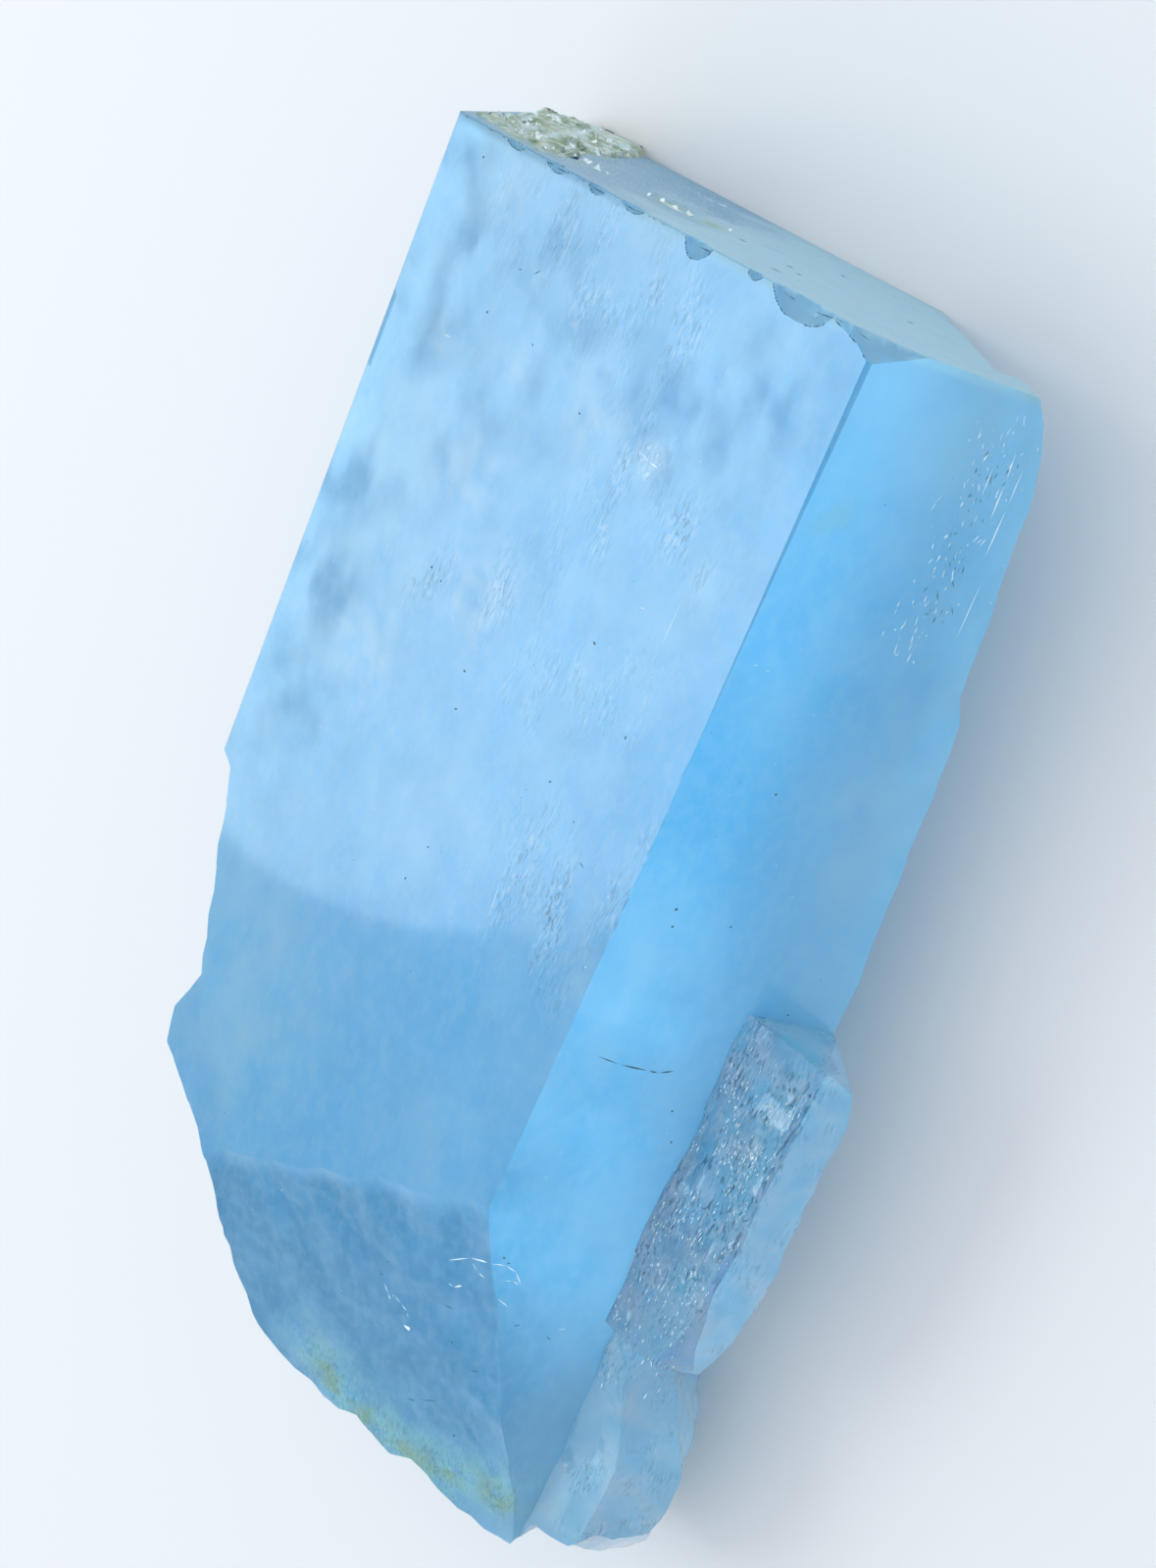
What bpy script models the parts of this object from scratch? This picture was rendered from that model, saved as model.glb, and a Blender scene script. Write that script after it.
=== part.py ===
"""Aquamarine crystal with a smaller crystal grown on its flank, lying on one of its broad faces.

Frame: metres, +Z up. The c axis of the crystal lies along Y, with its flat end face towards +Y and
its broken base towards -Y. Prism face A looks up, and the crystal rests on face D, opposite to A.
Going round from A, looking from the end face: A (top), B and C (right), D (bottom), E and F (left).
Sizes below are in millimetres in the crystal's own frame: x from the A/F edge, y from the end face,
z from face D. All objects are moved together at the end, so that the origin is under the middle.
"""

import math
import random

import bmesh
import bpy
from mathutils import Vector, noise

MM = 0.001

# Driving dimensions of the main crystal, in millimetres.
THICKNESS = 17.75
A_WIDTH = 28.0
B_WIDTH = 13.2
F_WIDTH = 17.4
RAW_LENGTH = 80.0
PRISM_ANGLE = math.radians(60.0)

# The crystal grown on face B, in two lengths with a notch between them. Each section has its y and
# its corners in x and z: root, edge of its upper and right faces, outermost edge, foot, and root.
SIDE_UPPER = (
    (-32.1, ((30.0, 10.45), (36.8, 10.45), (37.8, 8.9), (34.5, 6.3), (28.0, 4.0))),
    (-34.6, ((30.0, 10.45), (36.8, 10.45), (38.3, 8.0), (35.2, 4.6), (28.0, 3.0))),
    (-46.5, ((30.0, 10.40), (36.9, 10.40), (38.4, 7.8), (35.9, 3.2), (28.0, 2.0))),
    (-50.9, ((30.0, 10.30), (36.0, 10.30), (37.2, 8.1), (35.2, 3.0), (28.0, 1.4))),
)
SIDE_LOWER = (
    (-50.0, ((30.0, 9.7), (33.8, 9.7), (34.4, 7.2), (33.0, 2.6), (28.0, 1.2))),
    (-52.4, ((30.0, 9.7), (34.2, 9.7), (35.0, 6.8), (33.3, 2.4), (28.0, 1.2))),
    (-54.8, ((30.0, 9.6), (35.0, 9.6), (36.3, 6.4), (34.2, 2.2), (28.0, 1.0))),
    (-57.4, ((30.0, 9.5), (36.2, 9.5), (38.0, 6.2), (35.5, 2.2), (28.0, 1.0))),
    (-60.0, ((30.0, 9.5), (36.2, 9.5), (38.0, 6.2), (35.7, 2.2), (28.0, 1.0))),
    (-72.0, ((30.0, 9.4), (35.5, 9.4), (37.0, 6.0), (34.9, 2.0), (28.0, 1.0))),
)
SIDE_CELL = 0.95
SIDE_BUMPS = (2.2, 0.34)
SIDE_STRETCH = 0.6
SIDE_FADE_ROWS = 1.5
SIDE_TIP_FACET = ((36.8, -31.95, 10.45), (0.41, 0.885, -0.22))

# Outline of the broken flanks and base: each entry pairs a point at the height of face A with the
# point under it at the height of face D. The first and last entries lie clear of the crystal.
BROKEN_OUTLINE = (
    ((-14.0, -34.6), (-16.0, -34.0)),
    ((-0.3, -35.7), (-10.4, -35.0)),
    ((0.6, -36.5), (-9.6, -36.6)),
    ((1.5, -39.5), (-8.6, -40.2)),
    ((3.7, -45.5), (-6.8, -45.5)),
    ((4.1, -47.8), (-5.9, -48.5)),
    ((3.4, -50.2), (-5.6, -51.0)),
    ((4.2, -51.8), (-4.2, -53.0)),
    ((6.0, -53.2), (-2.4, -55.0)),
    ((8.4, -54.6), (0.4, -57.2)),
    ((9.6, -56.4), (2.2, -59.0)),
    ((10.9, -59.0), (4.4, -61.0)),
    ((13.0, -62.4), (7.4, -62.8)),
    ((14.6, -64.9), (10.4, -64.0)),
    ((17.6, -66.6), (15.4, -64.6)),
    ((21.0, -66.5), (19.4, -64.9)),
    ((25.8, -65.7), (25.2, -64.0)),
    ((29.3, -66.6), (28.4, -65.9)),
    ((31.2, -67.0), (30.3, -66.0)),
    ((32.9, -66.5), (32.0, -65.3)),
    ((33.6, -64.1), (32.9, -63.9)),
    ((34.8, -62.9), (34.2, -64.9)),
    ((35.9, -61.7), (35.7, -66.1)),
    ((36.8, -60.8), (36.8, -64.2)),
    ((38.2, -59.8), (38.0, -62.4)),
    ((39.4, -57.8), (39.2, -60.0)),
    ((41.0, -55.0), (41.0, -57.4)),
    ((44.0, -52.0), (44.0, -53.0)),
)
CLEAR_CORNERS = ((60.0, -50.0), (60.0, 20.0), (-40.0, 20.0), (-40.0, -34.4))
OUTLINE_STEP = 1.25
RING_STEP = 1.3
CORE_MARGIN = 1.5

# Relief of the broken walls: two sizes of bumps with their heights, and shell-like ribs with their
# starting point, spacing, height and fading distance.
BREAK_BUMPS = ((6.5, 0.84), (2.4, 0.42))
BREAK_RIBS = ((22.0, -64.0, 12.0), 3.1, 0.3, 9.0)
BREAK_CENTRE = (20.0, -30.0)

# Depth of the blocks that cut breaks and facets, and half the width of a facet's block.
SLAB_DEPTH = 30.0
FACET_REACH = 9.0

# Sloping break at the lower end of face A: two points of its upper edge on A, and its fall.
SLOPE_LEFT = (9.6, -55.8)
SLOPE_RIGHT = (28.0, -45.5)
SLOPE_FALL = math.radians(22.0)
SLOPE_CELL = 1.35
SLOPE_BUMPS = (7.0, 0.38)
SLOPE_RIBS = ((6.0, 0.0), 4.2, 0.12, 14.0)
SLOPE_REACH = 24.0

# Break that took the upper end of face C: two points on the end face and one on the B/C edge, and
# how it bellies out between them and drops at a ledge.
FLANK_ON_END = ((32.1, 10.6), (22.4, 2.9))
FLANK_ON_EDGE = (34.6, -32.0, 6.3)
FLANK_CELL = 1.3
FLANK_BUMPS = (5.0, 0.3)
FLANK_ALONG = (-4.0, 52.0)
FLANK_ACROSS = (-10.0, 17.0)
FLANK_BELLY = (1.9, 3.0, 18.0)
FLANK_LEDGE = (14.8, 0.5, 8.0)

# Small corner facets where A, B and the end face meet: each is a point and an outward normal.
CORNER_FACETS = (
    ((26.0, 0.0, THICKNESS), (0.42, 0.72, 0.62)),
    ((25.2, -0.1, THICKNESS), (0.12, 0.42, 0.90)),
)
END_FACE_CHIP = ((20.5, -0.1, 1.4), (0.30, 0.90, -0.32))

# Shell-shaped chips along the edge between A and the end face: x, reach along the edge, reach
# down face A, depth.
EDGE_CHIPS = (
    (4.4, 0.8, 0.35, 0.3),
    (7.4, 0.9, 0.4, 0.3),
    (10.2, 0.7, 0.45, 0.35),
    (12.6, 0.9, 0.35, 0.3),
    (17.0, 1.0, 0.95, 0.5),
    (20.6, 0.5, 0.4, 0.3),
    (23.6, 2.1, 1.15, 0.7),
)
CHIP_SEGMENTS = 16
CHIP_RINGS = 9
CHIP_STANDOFF = 0.35
CHIP_SWELL = (1.35, 0.1, 2.2)

# The mineral crust on the end face, and the pocket that it grows in: outlines in x and z. The pocket
# is open at the corner of faces D, E and F. The ridge is where the crust is thickest.
CRUST_OUTLINE = (
    (-8.5, 2.9),
    (-8.0, 1.3),
    (-7.0, 0.5),
    (-3.9, 0.5),
    (-2.5, 1.9),
    (-0.7, 5.2),
    (0.7, 8.1),
    (1.2, 9.7),
    (2.4, 11.7),
    (4.0, 13.6),
    (4.3, 14.7),
    (3.4, 15.4),
    (1.2, 15.5),
    (-0.6, 15.0),
    (-1.9, 13.0),
    (-3.4, 10.2),
    (-5.2, 7.2),
    (-7.3, 4.4),
)
POCKET_OUTLINE = (
    (-11.0, 3.2),
    (-9.5, -2.0),
    (-4.0, -2.0),
    (-3.5, 0.1),
    (-2.1, 1.6),
    (-0.3, 5.0),
    (1.1, 7.9),
    (1.6, 9.5),
    (2.8, 11.5),
    (4.4, 13.4),
    (4.8, 15.0),
    (3.6, 15.9),
    (1.1, 15.95),
    (-0.9, 15.4),
    (-2.3, 13.3),
    (-3.8, 10.5),
    (-5.6, 7.5),
    (-7.7, 4.8),
)
POCKET_DEPTH = 1.0
POCKET_TOP = 6.0
GAP = 0.3
CRUST_CENTRE = (-2.2, 7.6)
CRUST_POINTS = 60
CRUST_RINGS = 15
CRUST_EDGE = -0.12
CRUST_KNOBS = (0.34, 1.7)
CRUST_RIDGE = ((-7.7, 2.2), (-4.4, 1.2), 0.26, 1.5)
PLATE_COUNT = 70
PLATE_REACH = (0.7, 1.7)
PLATE_LEVEL = (0.05, 0.26)
PLATE_STEEPNESS = (0.05, 0.16)


def clear_scene():
    for item in list(bpy.data.objects):
        bpy.data.objects.remove(item, do_unlink=True)


def principled(name, color, roughness, transmission=0.0, ior=1.5):
    """A material with the piece's colour, roughness and clearness."""
    material = bpy.data.materials.new(name)
    material.use_nodes = True
    shader = material.node_tree.nodes["Principled BSDF"]
    shader.inputs["Base Color"].default_value = (*color, 1.0)
    shader.inputs["Roughness"].default_value = roughness
    shader.inputs["Metallic"].default_value = 0.0
    shader.inputs["Transmission Weight"].default_value = transmission
    shader.inputs["IOR"].default_value = ior
    return material


def mesh_object(name, points, faces, material=None):
    """An object from points in millimetres, with its faces turned outwards."""
    mesh = bpy.data.meshes.new(name)
    mesh.from_pydata([Vector(p) * MM for p in points], [], faces)
    shape = bmesh.new()
    shape.from_mesh(mesh)
    bmesh.ops.recalc_face_normals(shape, faces=shape.faces[:])
    shape.to_mesh(mesh)
    shape.free()
    item = bpy.data.objects.new(name, mesh)
    bpy.context.scene.collection.objects.link(item)
    if material:
        mesh.materials.append(material)
    return item


def cutter(name, points, faces):
    item = mesh_object(name, points, faces)
    item.hide_render = True
    item.display_type = "WIRE"
    return item


def boolean(item, tool, operation):
    modifier = item.modifiers.new(operation.title() + " " + tool.name, "BOOLEAN")
    modifier.operation = operation
    modifier.object = tool
    modifier.solver = "EXACT"
    return modifier


def rough(point, size, height, seed, octaves=3):
    """Smooth random relief: noise of the given size and height, and finer octaves of it."""
    offset = Vector((seed * 7.3, seed * 3.1, seed * 5.7))
    total = 0.0
    for octave in range(octaves):
        scale = 2.0**octave
        total += noise.noise(Vector(point) * (scale / size) + offset) / scale
    return total * height


def shell_ripples(distance, spacing, height, fade):
    """The curved ribs of a shell-like fracture around the point where it started."""
    return height * math.sin(2.0 * math.pi * distance / spacing) * math.exp(-distance / fade)


def ring_faces(rings, count):
    """Quads between successive closed rings of count points, and a cap at each end."""
    faces = []
    for ring in range(rings - 1):
        for index in range(count):
            after = (index + 1) % count
            low = ring * count
            high = low + count
            faces.append((low + index, low + after, high + after, high + index))
    faces.append(tuple(range(count)))
    faces.append(tuple((rings - 1) * count + index for index in range(count)))
    return faces


def hexagon():
    """The main crystal's section as (x, z) corners: A/F, A/B, B/C, C/D, D/E, E/F."""
    run = math.cos(PRISM_ANGLE)
    fall = math.sin(PRISM_ANGLE)
    a_f = (0.0, THICKNESS)
    a_b = (A_WIDTH, THICKNESS)
    b_c = (A_WIDTH + B_WIDTH * run, THICKNESS - B_WIDTH * fall)
    c_d = (b_c[0] - b_c[1] / fall * run, 0.0)
    e_f = (-F_WIDTH * run, THICKNESS - F_WIDTH * fall)
    d_e = (e_f[0] + e_f[1] / fall * run, 0.0)
    return (a_f, a_b, b_c, c_d, d_e, e_f)


def main_prism():
    section = hexagon()
    points = []
    for y in (0.0, -RAW_LENGTH):
        points += [(x, y, z) for x, z in section]
    material = principled("aquamarine", (0.56, 0.80, 0.90), 0.12, 0.8, 1.577)
    return mesh_object("aquamarine_crystal", points, ring_faces(2, len(section)), material)


def side_crystal(name, sections, seed):
    """One length of the smaller crystal, with an etched upper face and a rough right face."""
    splits = []
    corners = sections[0][1]
    for start, end in zip(corners[:4], corners[1:]):
        splits.append(max(1, round((Vector(end) - Vector(start)).length / SIDE_CELL)))
    splits[-1] = 1
    tip = sections[0][0]
    base = sections[-1][0]
    rows = round((tip - base) / SIDE_CELL)
    points = []
    for step in range(rows + 1):
        y = tip + (base - tip) * step / rows
        corners = section_at(sections, y)
        ring = [corners[-1]]
        for start, end, count in zip(corners[:4], corners[1:], splits):
            ring += [start.lerp(end, part / count) for part in range(count)]
        fade = min(1.0, step / SIDE_FADE_ROWS, (rows - step) / SIDE_FADE_ROWS)
        for spot in ring:
            lift = rough((spot.x, y * SIDE_STRETCH, spot.y), *SIDE_BUMPS, seed)
            away = Vector((0.5, 0.0, 1.0)) if spot.y > corners[2].y else Vector((1.0, 0.0, -0.3))
            points.append(Vector((spot.x, y, spot.y)) + away.normalized() * lift * fade)
    return cutter(name, points, ring_faces(rows + 1, len(ring)))


def section_at(sections, y):
    """The corners of the section at y, in a straight blend between the two that it lies between."""
    for (y_low, low), (y_high, high) in zip(sections, sections[1:]):
        if y >= y_high:
            share = (y - y_low) / (y_high - y_low)
            return [Vector(a).lerp(Vector(b), share) for a, b in zip(low, high)]
    return [Vector(corner) for corner in sections[-1][1]]


def outline_at(level):
    """The corners of the broken outline at a height: 0 at face D and 1 at face A."""
    return [Vector(lower).lerp(Vector(upper), level) for upper, lower in BROKEN_OUTLINE]


def wall_relief(flat, z):
    """How far the broken wall stands out at a spot of its outline and a height."""
    spot = Vector((flat.x, flat.y, z * 0.8))
    start, spacing, height, fade = BREAK_RIBS
    lift = shell_ripples((spot - Vector(start)).length, spacing, height, fade)
    for seed, (size, bump) in enumerate(BREAK_BUMPS):
        lift += rough(spot, size, bump, 3 + 2 * seed)
    return lift


def broken_core():
    """The solid that keeps what the breaks left: rings of the broken outline, with rough walls."""
    middle = outline_at(0.7)
    splits = []
    for start, end in zip(middle, middle[1:]):
        splits.append(max(1, round((end - start).length / OUTLINE_STEP)))
    height = THICKNESS + 2.0 * CORE_MARGIN
    levels = round(height / RING_STEP)
    centre = Vector(BREAK_CENTRE)
    points = []
    for level in range(levels + 1):
        z = height * level / levels - CORE_MARGIN
        corners = outline_at(z / THICKNESS)
        ring = []
        for start, end, count in zip(corners, corners[1:], splits):
            ring += [start.lerp(end, part / count) for part in range(count)]
        ring.append(corners[-1])
        for flat in ring:
            flat = flat + (flat - centre).normalized() * wall_relief(flat, z)
            points.append((flat.x, flat.y, z))
        points += [(x, y, z) for x, y in CLEAR_CORNERS]
    count = len(points) // (levels + 1)
    return cutter("broken_core", points, ring_faces(levels + 1, count))


def fracture_slab(name, point, outward, along, reach, spread, cell, relief):
    """A block whose inner face is a rough fracture surface through point, facing away from outward.

    reach holds the block's extent along the given direction, low and high, and spread its extent
    across it. relief(a, b) is how far the surface stands out at a along and b across.
    """
    point = Vector(point)
    outward = Vector(outward).normalized()
    along = Vector(along)
    along = (along - outward * along.dot(outward)).normalized()
    across = outward.cross(along)
    columns = max(2, round((reach[1] - reach[0]) / cell))
    rows = max(2, round((spread[1] - spread[0]) / cell))
    points = []
    for row in range(rows + 1):
        b = spread[0] + (spread[1] - spread[0]) * row / rows
        for column in range(columns + 1):
            a = reach[0] + (reach[1] - reach[0]) * column / columns
            points.append(point + along * a + across * b + outward * relief(a, b))
    width = columns + 1
    faces = []
    for row in range(rows):
        for column in range(columns):
            low = row * width + column
            faces.append((low, low + 1, low + 1 + width, low + width))
    rim = [column for column in range(columns)]
    rim += [row * width + columns for row in range(rows)]
    rim += [rows * width + column for column in range(columns, 0, -1)]
    rim += [row * width for row in range(rows, 0, -1)]
    back = len(points)
    for index in rim:
        lifted = points[index]
        points.append(lifted + outward * (SLAB_DEPTH - (lifted - point).dot(outward)))
    for spot, index in enumerate(rim):
        after = (spot + 1) % len(rim)
        faces.append((index, rim[after], back + after, back + spot))
    faces.append(tuple(range(back, back + len(rim))))
    return cutter(name, points, faces)


def base_slope():
    """The sloping break from the lower edge of face A down towards the base."""
    left = Vector((*SLOPE_LEFT, THICKNESS))
    right = Vector((*SLOPE_RIGHT, THICKNESS))
    edge = (right - left).normalized()
    downhill = edge.cross(Vector((0.0, 0.0, 1.0))).normalized()
    outward = downhill * math.sin(SLOPE_FALL) + Vector((0.0, 0.0, math.cos(SLOPE_FALL)))

    start, spacing, height, fade = SLOPE_RIBS

    def relief(a, b):
        distance = math.hypot(a - start[0], b - start[1])
        ribs = shell_ripples(distance, spacing, height, fade)
        return rough((a, b, 0.0), *SLOPE_BUMPS, 11) + ribs

    middle = (left + right) / 2.0
    reach = (-SLOPE_REACH, SLOPE_REACH)
    return fracture_slab("base_slope", middle, outward, edge, reach, reach, SLOPE_CELL, relief)


def flank_break():
    """The break that took face C's upper end and thins out down the B/C edge."""
    first, second = FLANK_ON_END
    on_end = Vector((first[0], 0.0, first[1]))
    far_end = Vector((second[0], 0.0, second[1]))
    outward = (far_end - on_end).cross(Vector(FLANK_ON_EDGE) - on_end).normalized()
    if outward.x < 0.0:
        outward.negate()
    belly, onset, fade = FLANK_BELLY
    ledge_at, ledge, ledge_fade = FLANK_LEDGE

    def relief(a, b):
        fall = max(0.0, a)
        lift = belly * (1.0 - math.exp(-fall / onset)) * math.exp(-fall / fade)
        if fall > ledge_at:
            lift += ledge * math.exp((ledge_at - fall) / ledge_fade)
        return lift + rough((a, b, 4.0), *FLANK_BUMPS, 17)

    down = (0.0, -1.0, 0.0)
    return fracture_slab(
        "flank_break", on_end, outward, down, FLANK_ALONG, FLANK_ACROSS, FLANK_CELL, relief
    )


def shell_chips():
    """Flattened balls that scoop the chips along the edge of A and the end face."""
    points = []
    faces = []
    stretch, unevenness, waves = CHIP_SWELL
    for x, along, down, depth in EDGE_CHIPS:
        start = len(points)
        centre = Vector((x, CHIP_STANDOFF * down, THICKNESS + CHIP_STANDOFF * depth))
        size = Vector((along, down * stretch, depth * stretch))
        for ring in range(1, CHIP_RINGS):
            polar = math.pi * ring / CHIP_RINGS
            for segment in range(CHIP_SEGMENTS):
                turn = 2.0 * math.pi * segment / CHIP_SEGMENTS
                wide = math.sin(polar)
                unit = Vector((math.cos(turn) * wide, math.sin(turn) * wide, math.cos(polar)))
                swell = 1.0 + unevenness * noise.noise(unit * waves + Vector((x, 0.0, 0.0)))
                points.append(centre + unit * size * swell)
        rings = ring_faces(CHIP_RINGS - 1, CHIP_SEGMENTS)
        faces += [tuple(start + index for index in face) for face in rings]
    return cutter("shell_chips", points, faces)


def facet_block(name, point, normal):
    """A block that planes the crystal down to the facet through point, facing along normal."""
    reach = (-FACET_REACH, FACET_REACH)
    return fracture_slab(
        name, point, normal, (1.0, 0.0, 0.0), reach, reach, FACET_REACH, lambda a, b: 0.0
    )


def crust_ring():
    """The crust's outline as evenly turned points round its centre."""
    centre = Vector(CRUST_CENTRE)
    ring = []
    corners = [Vector(corner) - centre for corner in CRUST_OUTLINE]
    for index in range(CRUST_POINTS):
        turn = 2.0 * math.pi * index / CRUST_POINTS
        ray = Vector((math.cos(turn), math.sin(turn)))
        radius = 0.0
        for start, end in zip(corners, corners[1:] + corners[:1]):
            side = end - start
            cross = ray.cross(side)
            if abs(cross) < 1e-9:
                continue
            along_ray = start.cross(side) / cross
            along_side = start.cross(ray) / cross
            if along_ray > 0.0 and 0.0 <= along_side <= 1.0:
                radius = max(radius, along_ray)
        ring.append(centre + ray * radius)
    return ring


def upright_column(name, outline, low, high):
    """An outline in x and z as a column along the c axis, between two heights."""
    points = []
    for y in (low, high):
        points += [(x, y, z) for x, z in outline]
    return cutter(name, points, ring_faces(2, len(outline)))


def ridge_height(flat):
    """How far the crust's ridge lifts a spot of the end face, in x and z."""
    start, end, height, reach = CRUST_RIDGE
    start = Vector(start)
    side = Vector(end) - start
    share = min(1.0, max(0.0, (flat - start).dot(side) / side.length_squared))
    return height * math.exp(-(((flat - start - side * share).length / reach) ** 2))


def crust_plates(ring):
    """Overlapping tilted plates that make up the crust: centre, reach, height and slope of each."""
    pick = random.Random(41)
    centre = Vector(CRUST_CENTRE)
    plates = []
    for _ in range(PLATE_COUNT):
        flat = centre.lerp(ring[pick.randrange(len(ring))], math.sqrt(pick.uniform(0.02, 0.9)))
        steepness = pick.uniform(*PLATE_STEEPNESS)
        turn = pick.uniform(0.0, 2.0 * math.pi)
        slope = Vector((math.cos(turn), math.sin(turn))) * steepness
        reach = pick.uniform(*PLATE_REACH)
        level = CRUST_EDGE + pick.uniform(*PLATE_LEVEL) + ridge_height(flat)
        plates.append((flat, reach, level, slope))
    return plates


def plate_height(flat, plates):
    """Height of the topmost plate over a spot, or of the bed under the plates."""
    height, size = CRUST_KNOBS
    bed = CRUST_EDGE + abs(rough((flat.x, 0.0, flat.y), size, height, 23)) + ridge_height(flat)
    tops = [bed]
    for middle, reach, level, slope in plates:
        away = flat - middle
        if away.length < reach:
            tops.append(level + slope.dot(away))
    return max(tops)


def build_crust():
    """A cake of plates that fills its pocket, thin at the front and knobbly along its ridge."""
    centre = Vector(CRUST_CENTRE)
    ring = crust_ring()
    plates = crust_plates(ring)
    points = [(spot.x, GAP - POCKET_DEPTH, spot.y) for spot in ring]
    points += [(spot.x, CRUST_EDGE, spot.y) for spot in ring]
    scales = [(CRUST_RINGS - step) / CRUST_RINGS for step in range(CRUST_RINGS)]
    for scale in scales[1:] + [0.04]:
        for spot in ring:
            flat = centre + (spot - centre) * scale
            points.append((flat.x, plate_height(flat, plates), flat.y))
    material = principled("crust", (0.78, 0.77, 0.60), 0.45)
    faces = ring_faces(len(points) // CRUST_POINTS, CRUST_POINTS)
    return mesh_object("mineral_crust", points, faces, material)


def build_crystal():
    crystal = main_prism()
    boolean(crystal, flank_break(), "DIFFERENCE")
    side_upper = side_crystal("side_upper", SIDE_UPPER, 31)
    boolean(side_upper, facet_block("side_tip_facet", *SIDE_TIP_FACET), "DIFFERENCE")
    boolean(crystal, side_upper, "UNION")
    boolean(crystal, side_crystal("side_lower", SIDE_LOWER, 37), "UNION")
    boolean(crystal, broken_core(), "INTERSECT")
    for number, (point, normal) in enumerate((*CORNER_FACETS, END_FACE_CHIP), 1):
        boolean(crystal, facet_block(f"corner_facet_{number}", point, normal), "DIFFERENCE")
    boolean(crystal, base_slope(), "DIFFERENCE")
    pocket = upright_column("crust_pocket", POCKET_OUTLINE, -POCKET_DEPTH, POCKET_TOP)
    boolean(crystal, pocket, "DIFFERENCE")
    boolean(crystal, shell_chips(), "DIFFERENCE")
    return crystal


def bounds(items):
    """Lowest and highest corner of the objects as their modifiers leave them."""
    graph = bpy.context.evaluated_depsgraph_get()
    corners = []
    for item in items:
        mesh = item.evaluated_get(graph).to_mesh()
        corners += [item.matrix_world @ vertex.co for vertex in mesh.vertices]
    low = Vector(min(corner[axis] for corner in corners) for axis in range(3))
    high = Vector(max(corner[axis] for corner in corners) for axis in range(3))
    return low, high


def stand_on_origin(items):
    """Moves everything, cutters too, so that the box of the items is centred over the origin."""
    low, high = bounds(items)
    middle = (low + high) / 2.0
    for item in bpy.data.objects:
        item.location = Vector((-middle.x, -middle.y, -low.z))


def main():
    clear_scene()
    crystal = build_crystal()
    crust = build_crust()
    bpy.context.view_layer.update()
    stand_on_origin([crystal, crust])


main()
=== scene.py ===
"""Aquamarine crystal lying on a pale floor: its finish, its inner features and its crust.

Sizes are in millimetres in the crystal's own frame: x from the A/F edge, y from the flat end face,
z from the face that it lies on. Face A is the broad upper face, B the one to its right, C, D
(underneath), E and F follow round. A smaller crystal has grown on B and C.
"""

import bisect
import math
import random

import bmesh
import bpy
from mathutils import Matrix, Vector, noise
from mathutils.bvhtree import BVHTree


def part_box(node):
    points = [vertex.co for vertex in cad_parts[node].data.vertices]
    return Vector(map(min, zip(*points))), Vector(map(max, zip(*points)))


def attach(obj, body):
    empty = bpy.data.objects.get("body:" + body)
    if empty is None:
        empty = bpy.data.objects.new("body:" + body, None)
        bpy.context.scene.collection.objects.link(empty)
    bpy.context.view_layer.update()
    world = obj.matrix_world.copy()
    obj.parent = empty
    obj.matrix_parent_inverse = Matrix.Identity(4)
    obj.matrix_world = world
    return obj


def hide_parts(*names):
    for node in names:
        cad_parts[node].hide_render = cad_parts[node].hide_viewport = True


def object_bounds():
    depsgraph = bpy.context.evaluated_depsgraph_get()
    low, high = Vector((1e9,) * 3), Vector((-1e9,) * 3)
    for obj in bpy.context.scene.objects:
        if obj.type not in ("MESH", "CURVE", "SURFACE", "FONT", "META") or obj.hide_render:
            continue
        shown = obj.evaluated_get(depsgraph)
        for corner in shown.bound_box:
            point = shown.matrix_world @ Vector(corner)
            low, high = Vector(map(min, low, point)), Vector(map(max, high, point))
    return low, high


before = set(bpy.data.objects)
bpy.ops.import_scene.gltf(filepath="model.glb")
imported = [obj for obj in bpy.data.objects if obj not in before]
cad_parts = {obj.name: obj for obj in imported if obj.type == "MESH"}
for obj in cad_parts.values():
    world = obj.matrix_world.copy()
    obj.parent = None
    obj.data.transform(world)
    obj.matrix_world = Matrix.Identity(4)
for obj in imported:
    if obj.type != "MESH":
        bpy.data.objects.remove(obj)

MM = 0.001
CAD_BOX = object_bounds()
LOW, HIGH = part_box("aquamarine_crystal")
THICKNESS = (HIGH.z - LOW.z) / MM
EF_EDGE_X = -8.70
ORIGIN = Vector((LOW.x - EF_EDGE_X * MM, HIGH.y, LOW.z))

# The six long faces, the end face and the slope that breaks off face A's lower end: a point on each and
# its outward normal.
A_WIDTH = 28.0
SLANT = math.radians(60.0)
TILTED = Vector((math.sin(SLANT), 0.0, math.cos(SLANT)))
FACE_A = (Vector((0.0, 0.0, THICKNESS)), Vector((0.0, 0.0, 1.0)))
FACE_B = (Vector((A_WIDTH, 0.0, THICKNESS)), TILTED)
FACE_C = (Vector((34.6, 0.0, 6.32)), Vector((TILTED.x, 0.0, -TILTED.z)))
FACE_D = (Vector((0.0, 0.0, 0.0)), Vector((0.0, 0.0, -1.0)))
FACE_E = (Vector((EF_EDGE_X, 0.0, 2.68)), Vector((-TILTED.x, 0.0, -TILTED.z)))
FACE_F = (Vector((0.0, 0.0, THICKNESS)), Vector((-TILTED.x, 0.0, TILTED.z)))
END_FACE = (Vector((0.0, 0.0, 0.0)), Vector((0.0, 1.0, 0.0)))
SLOPE = (Vector((28.0, -45.5, THICKNESS)), Vector((0.195, -0.323, 0.926)))
FLAT_FACES = (FACE_A, FACE_B, FACE_C, FACE_D, FACE_E, FACE_F, END_FACE)

# The side crystal: the y of its tip, how far it stands off face B, and the x past which all is its own.
SIDE_TOP = -31.9
SIDE_STANDOFF = 0.03
SIDE_ALONE = 34.9

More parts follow.
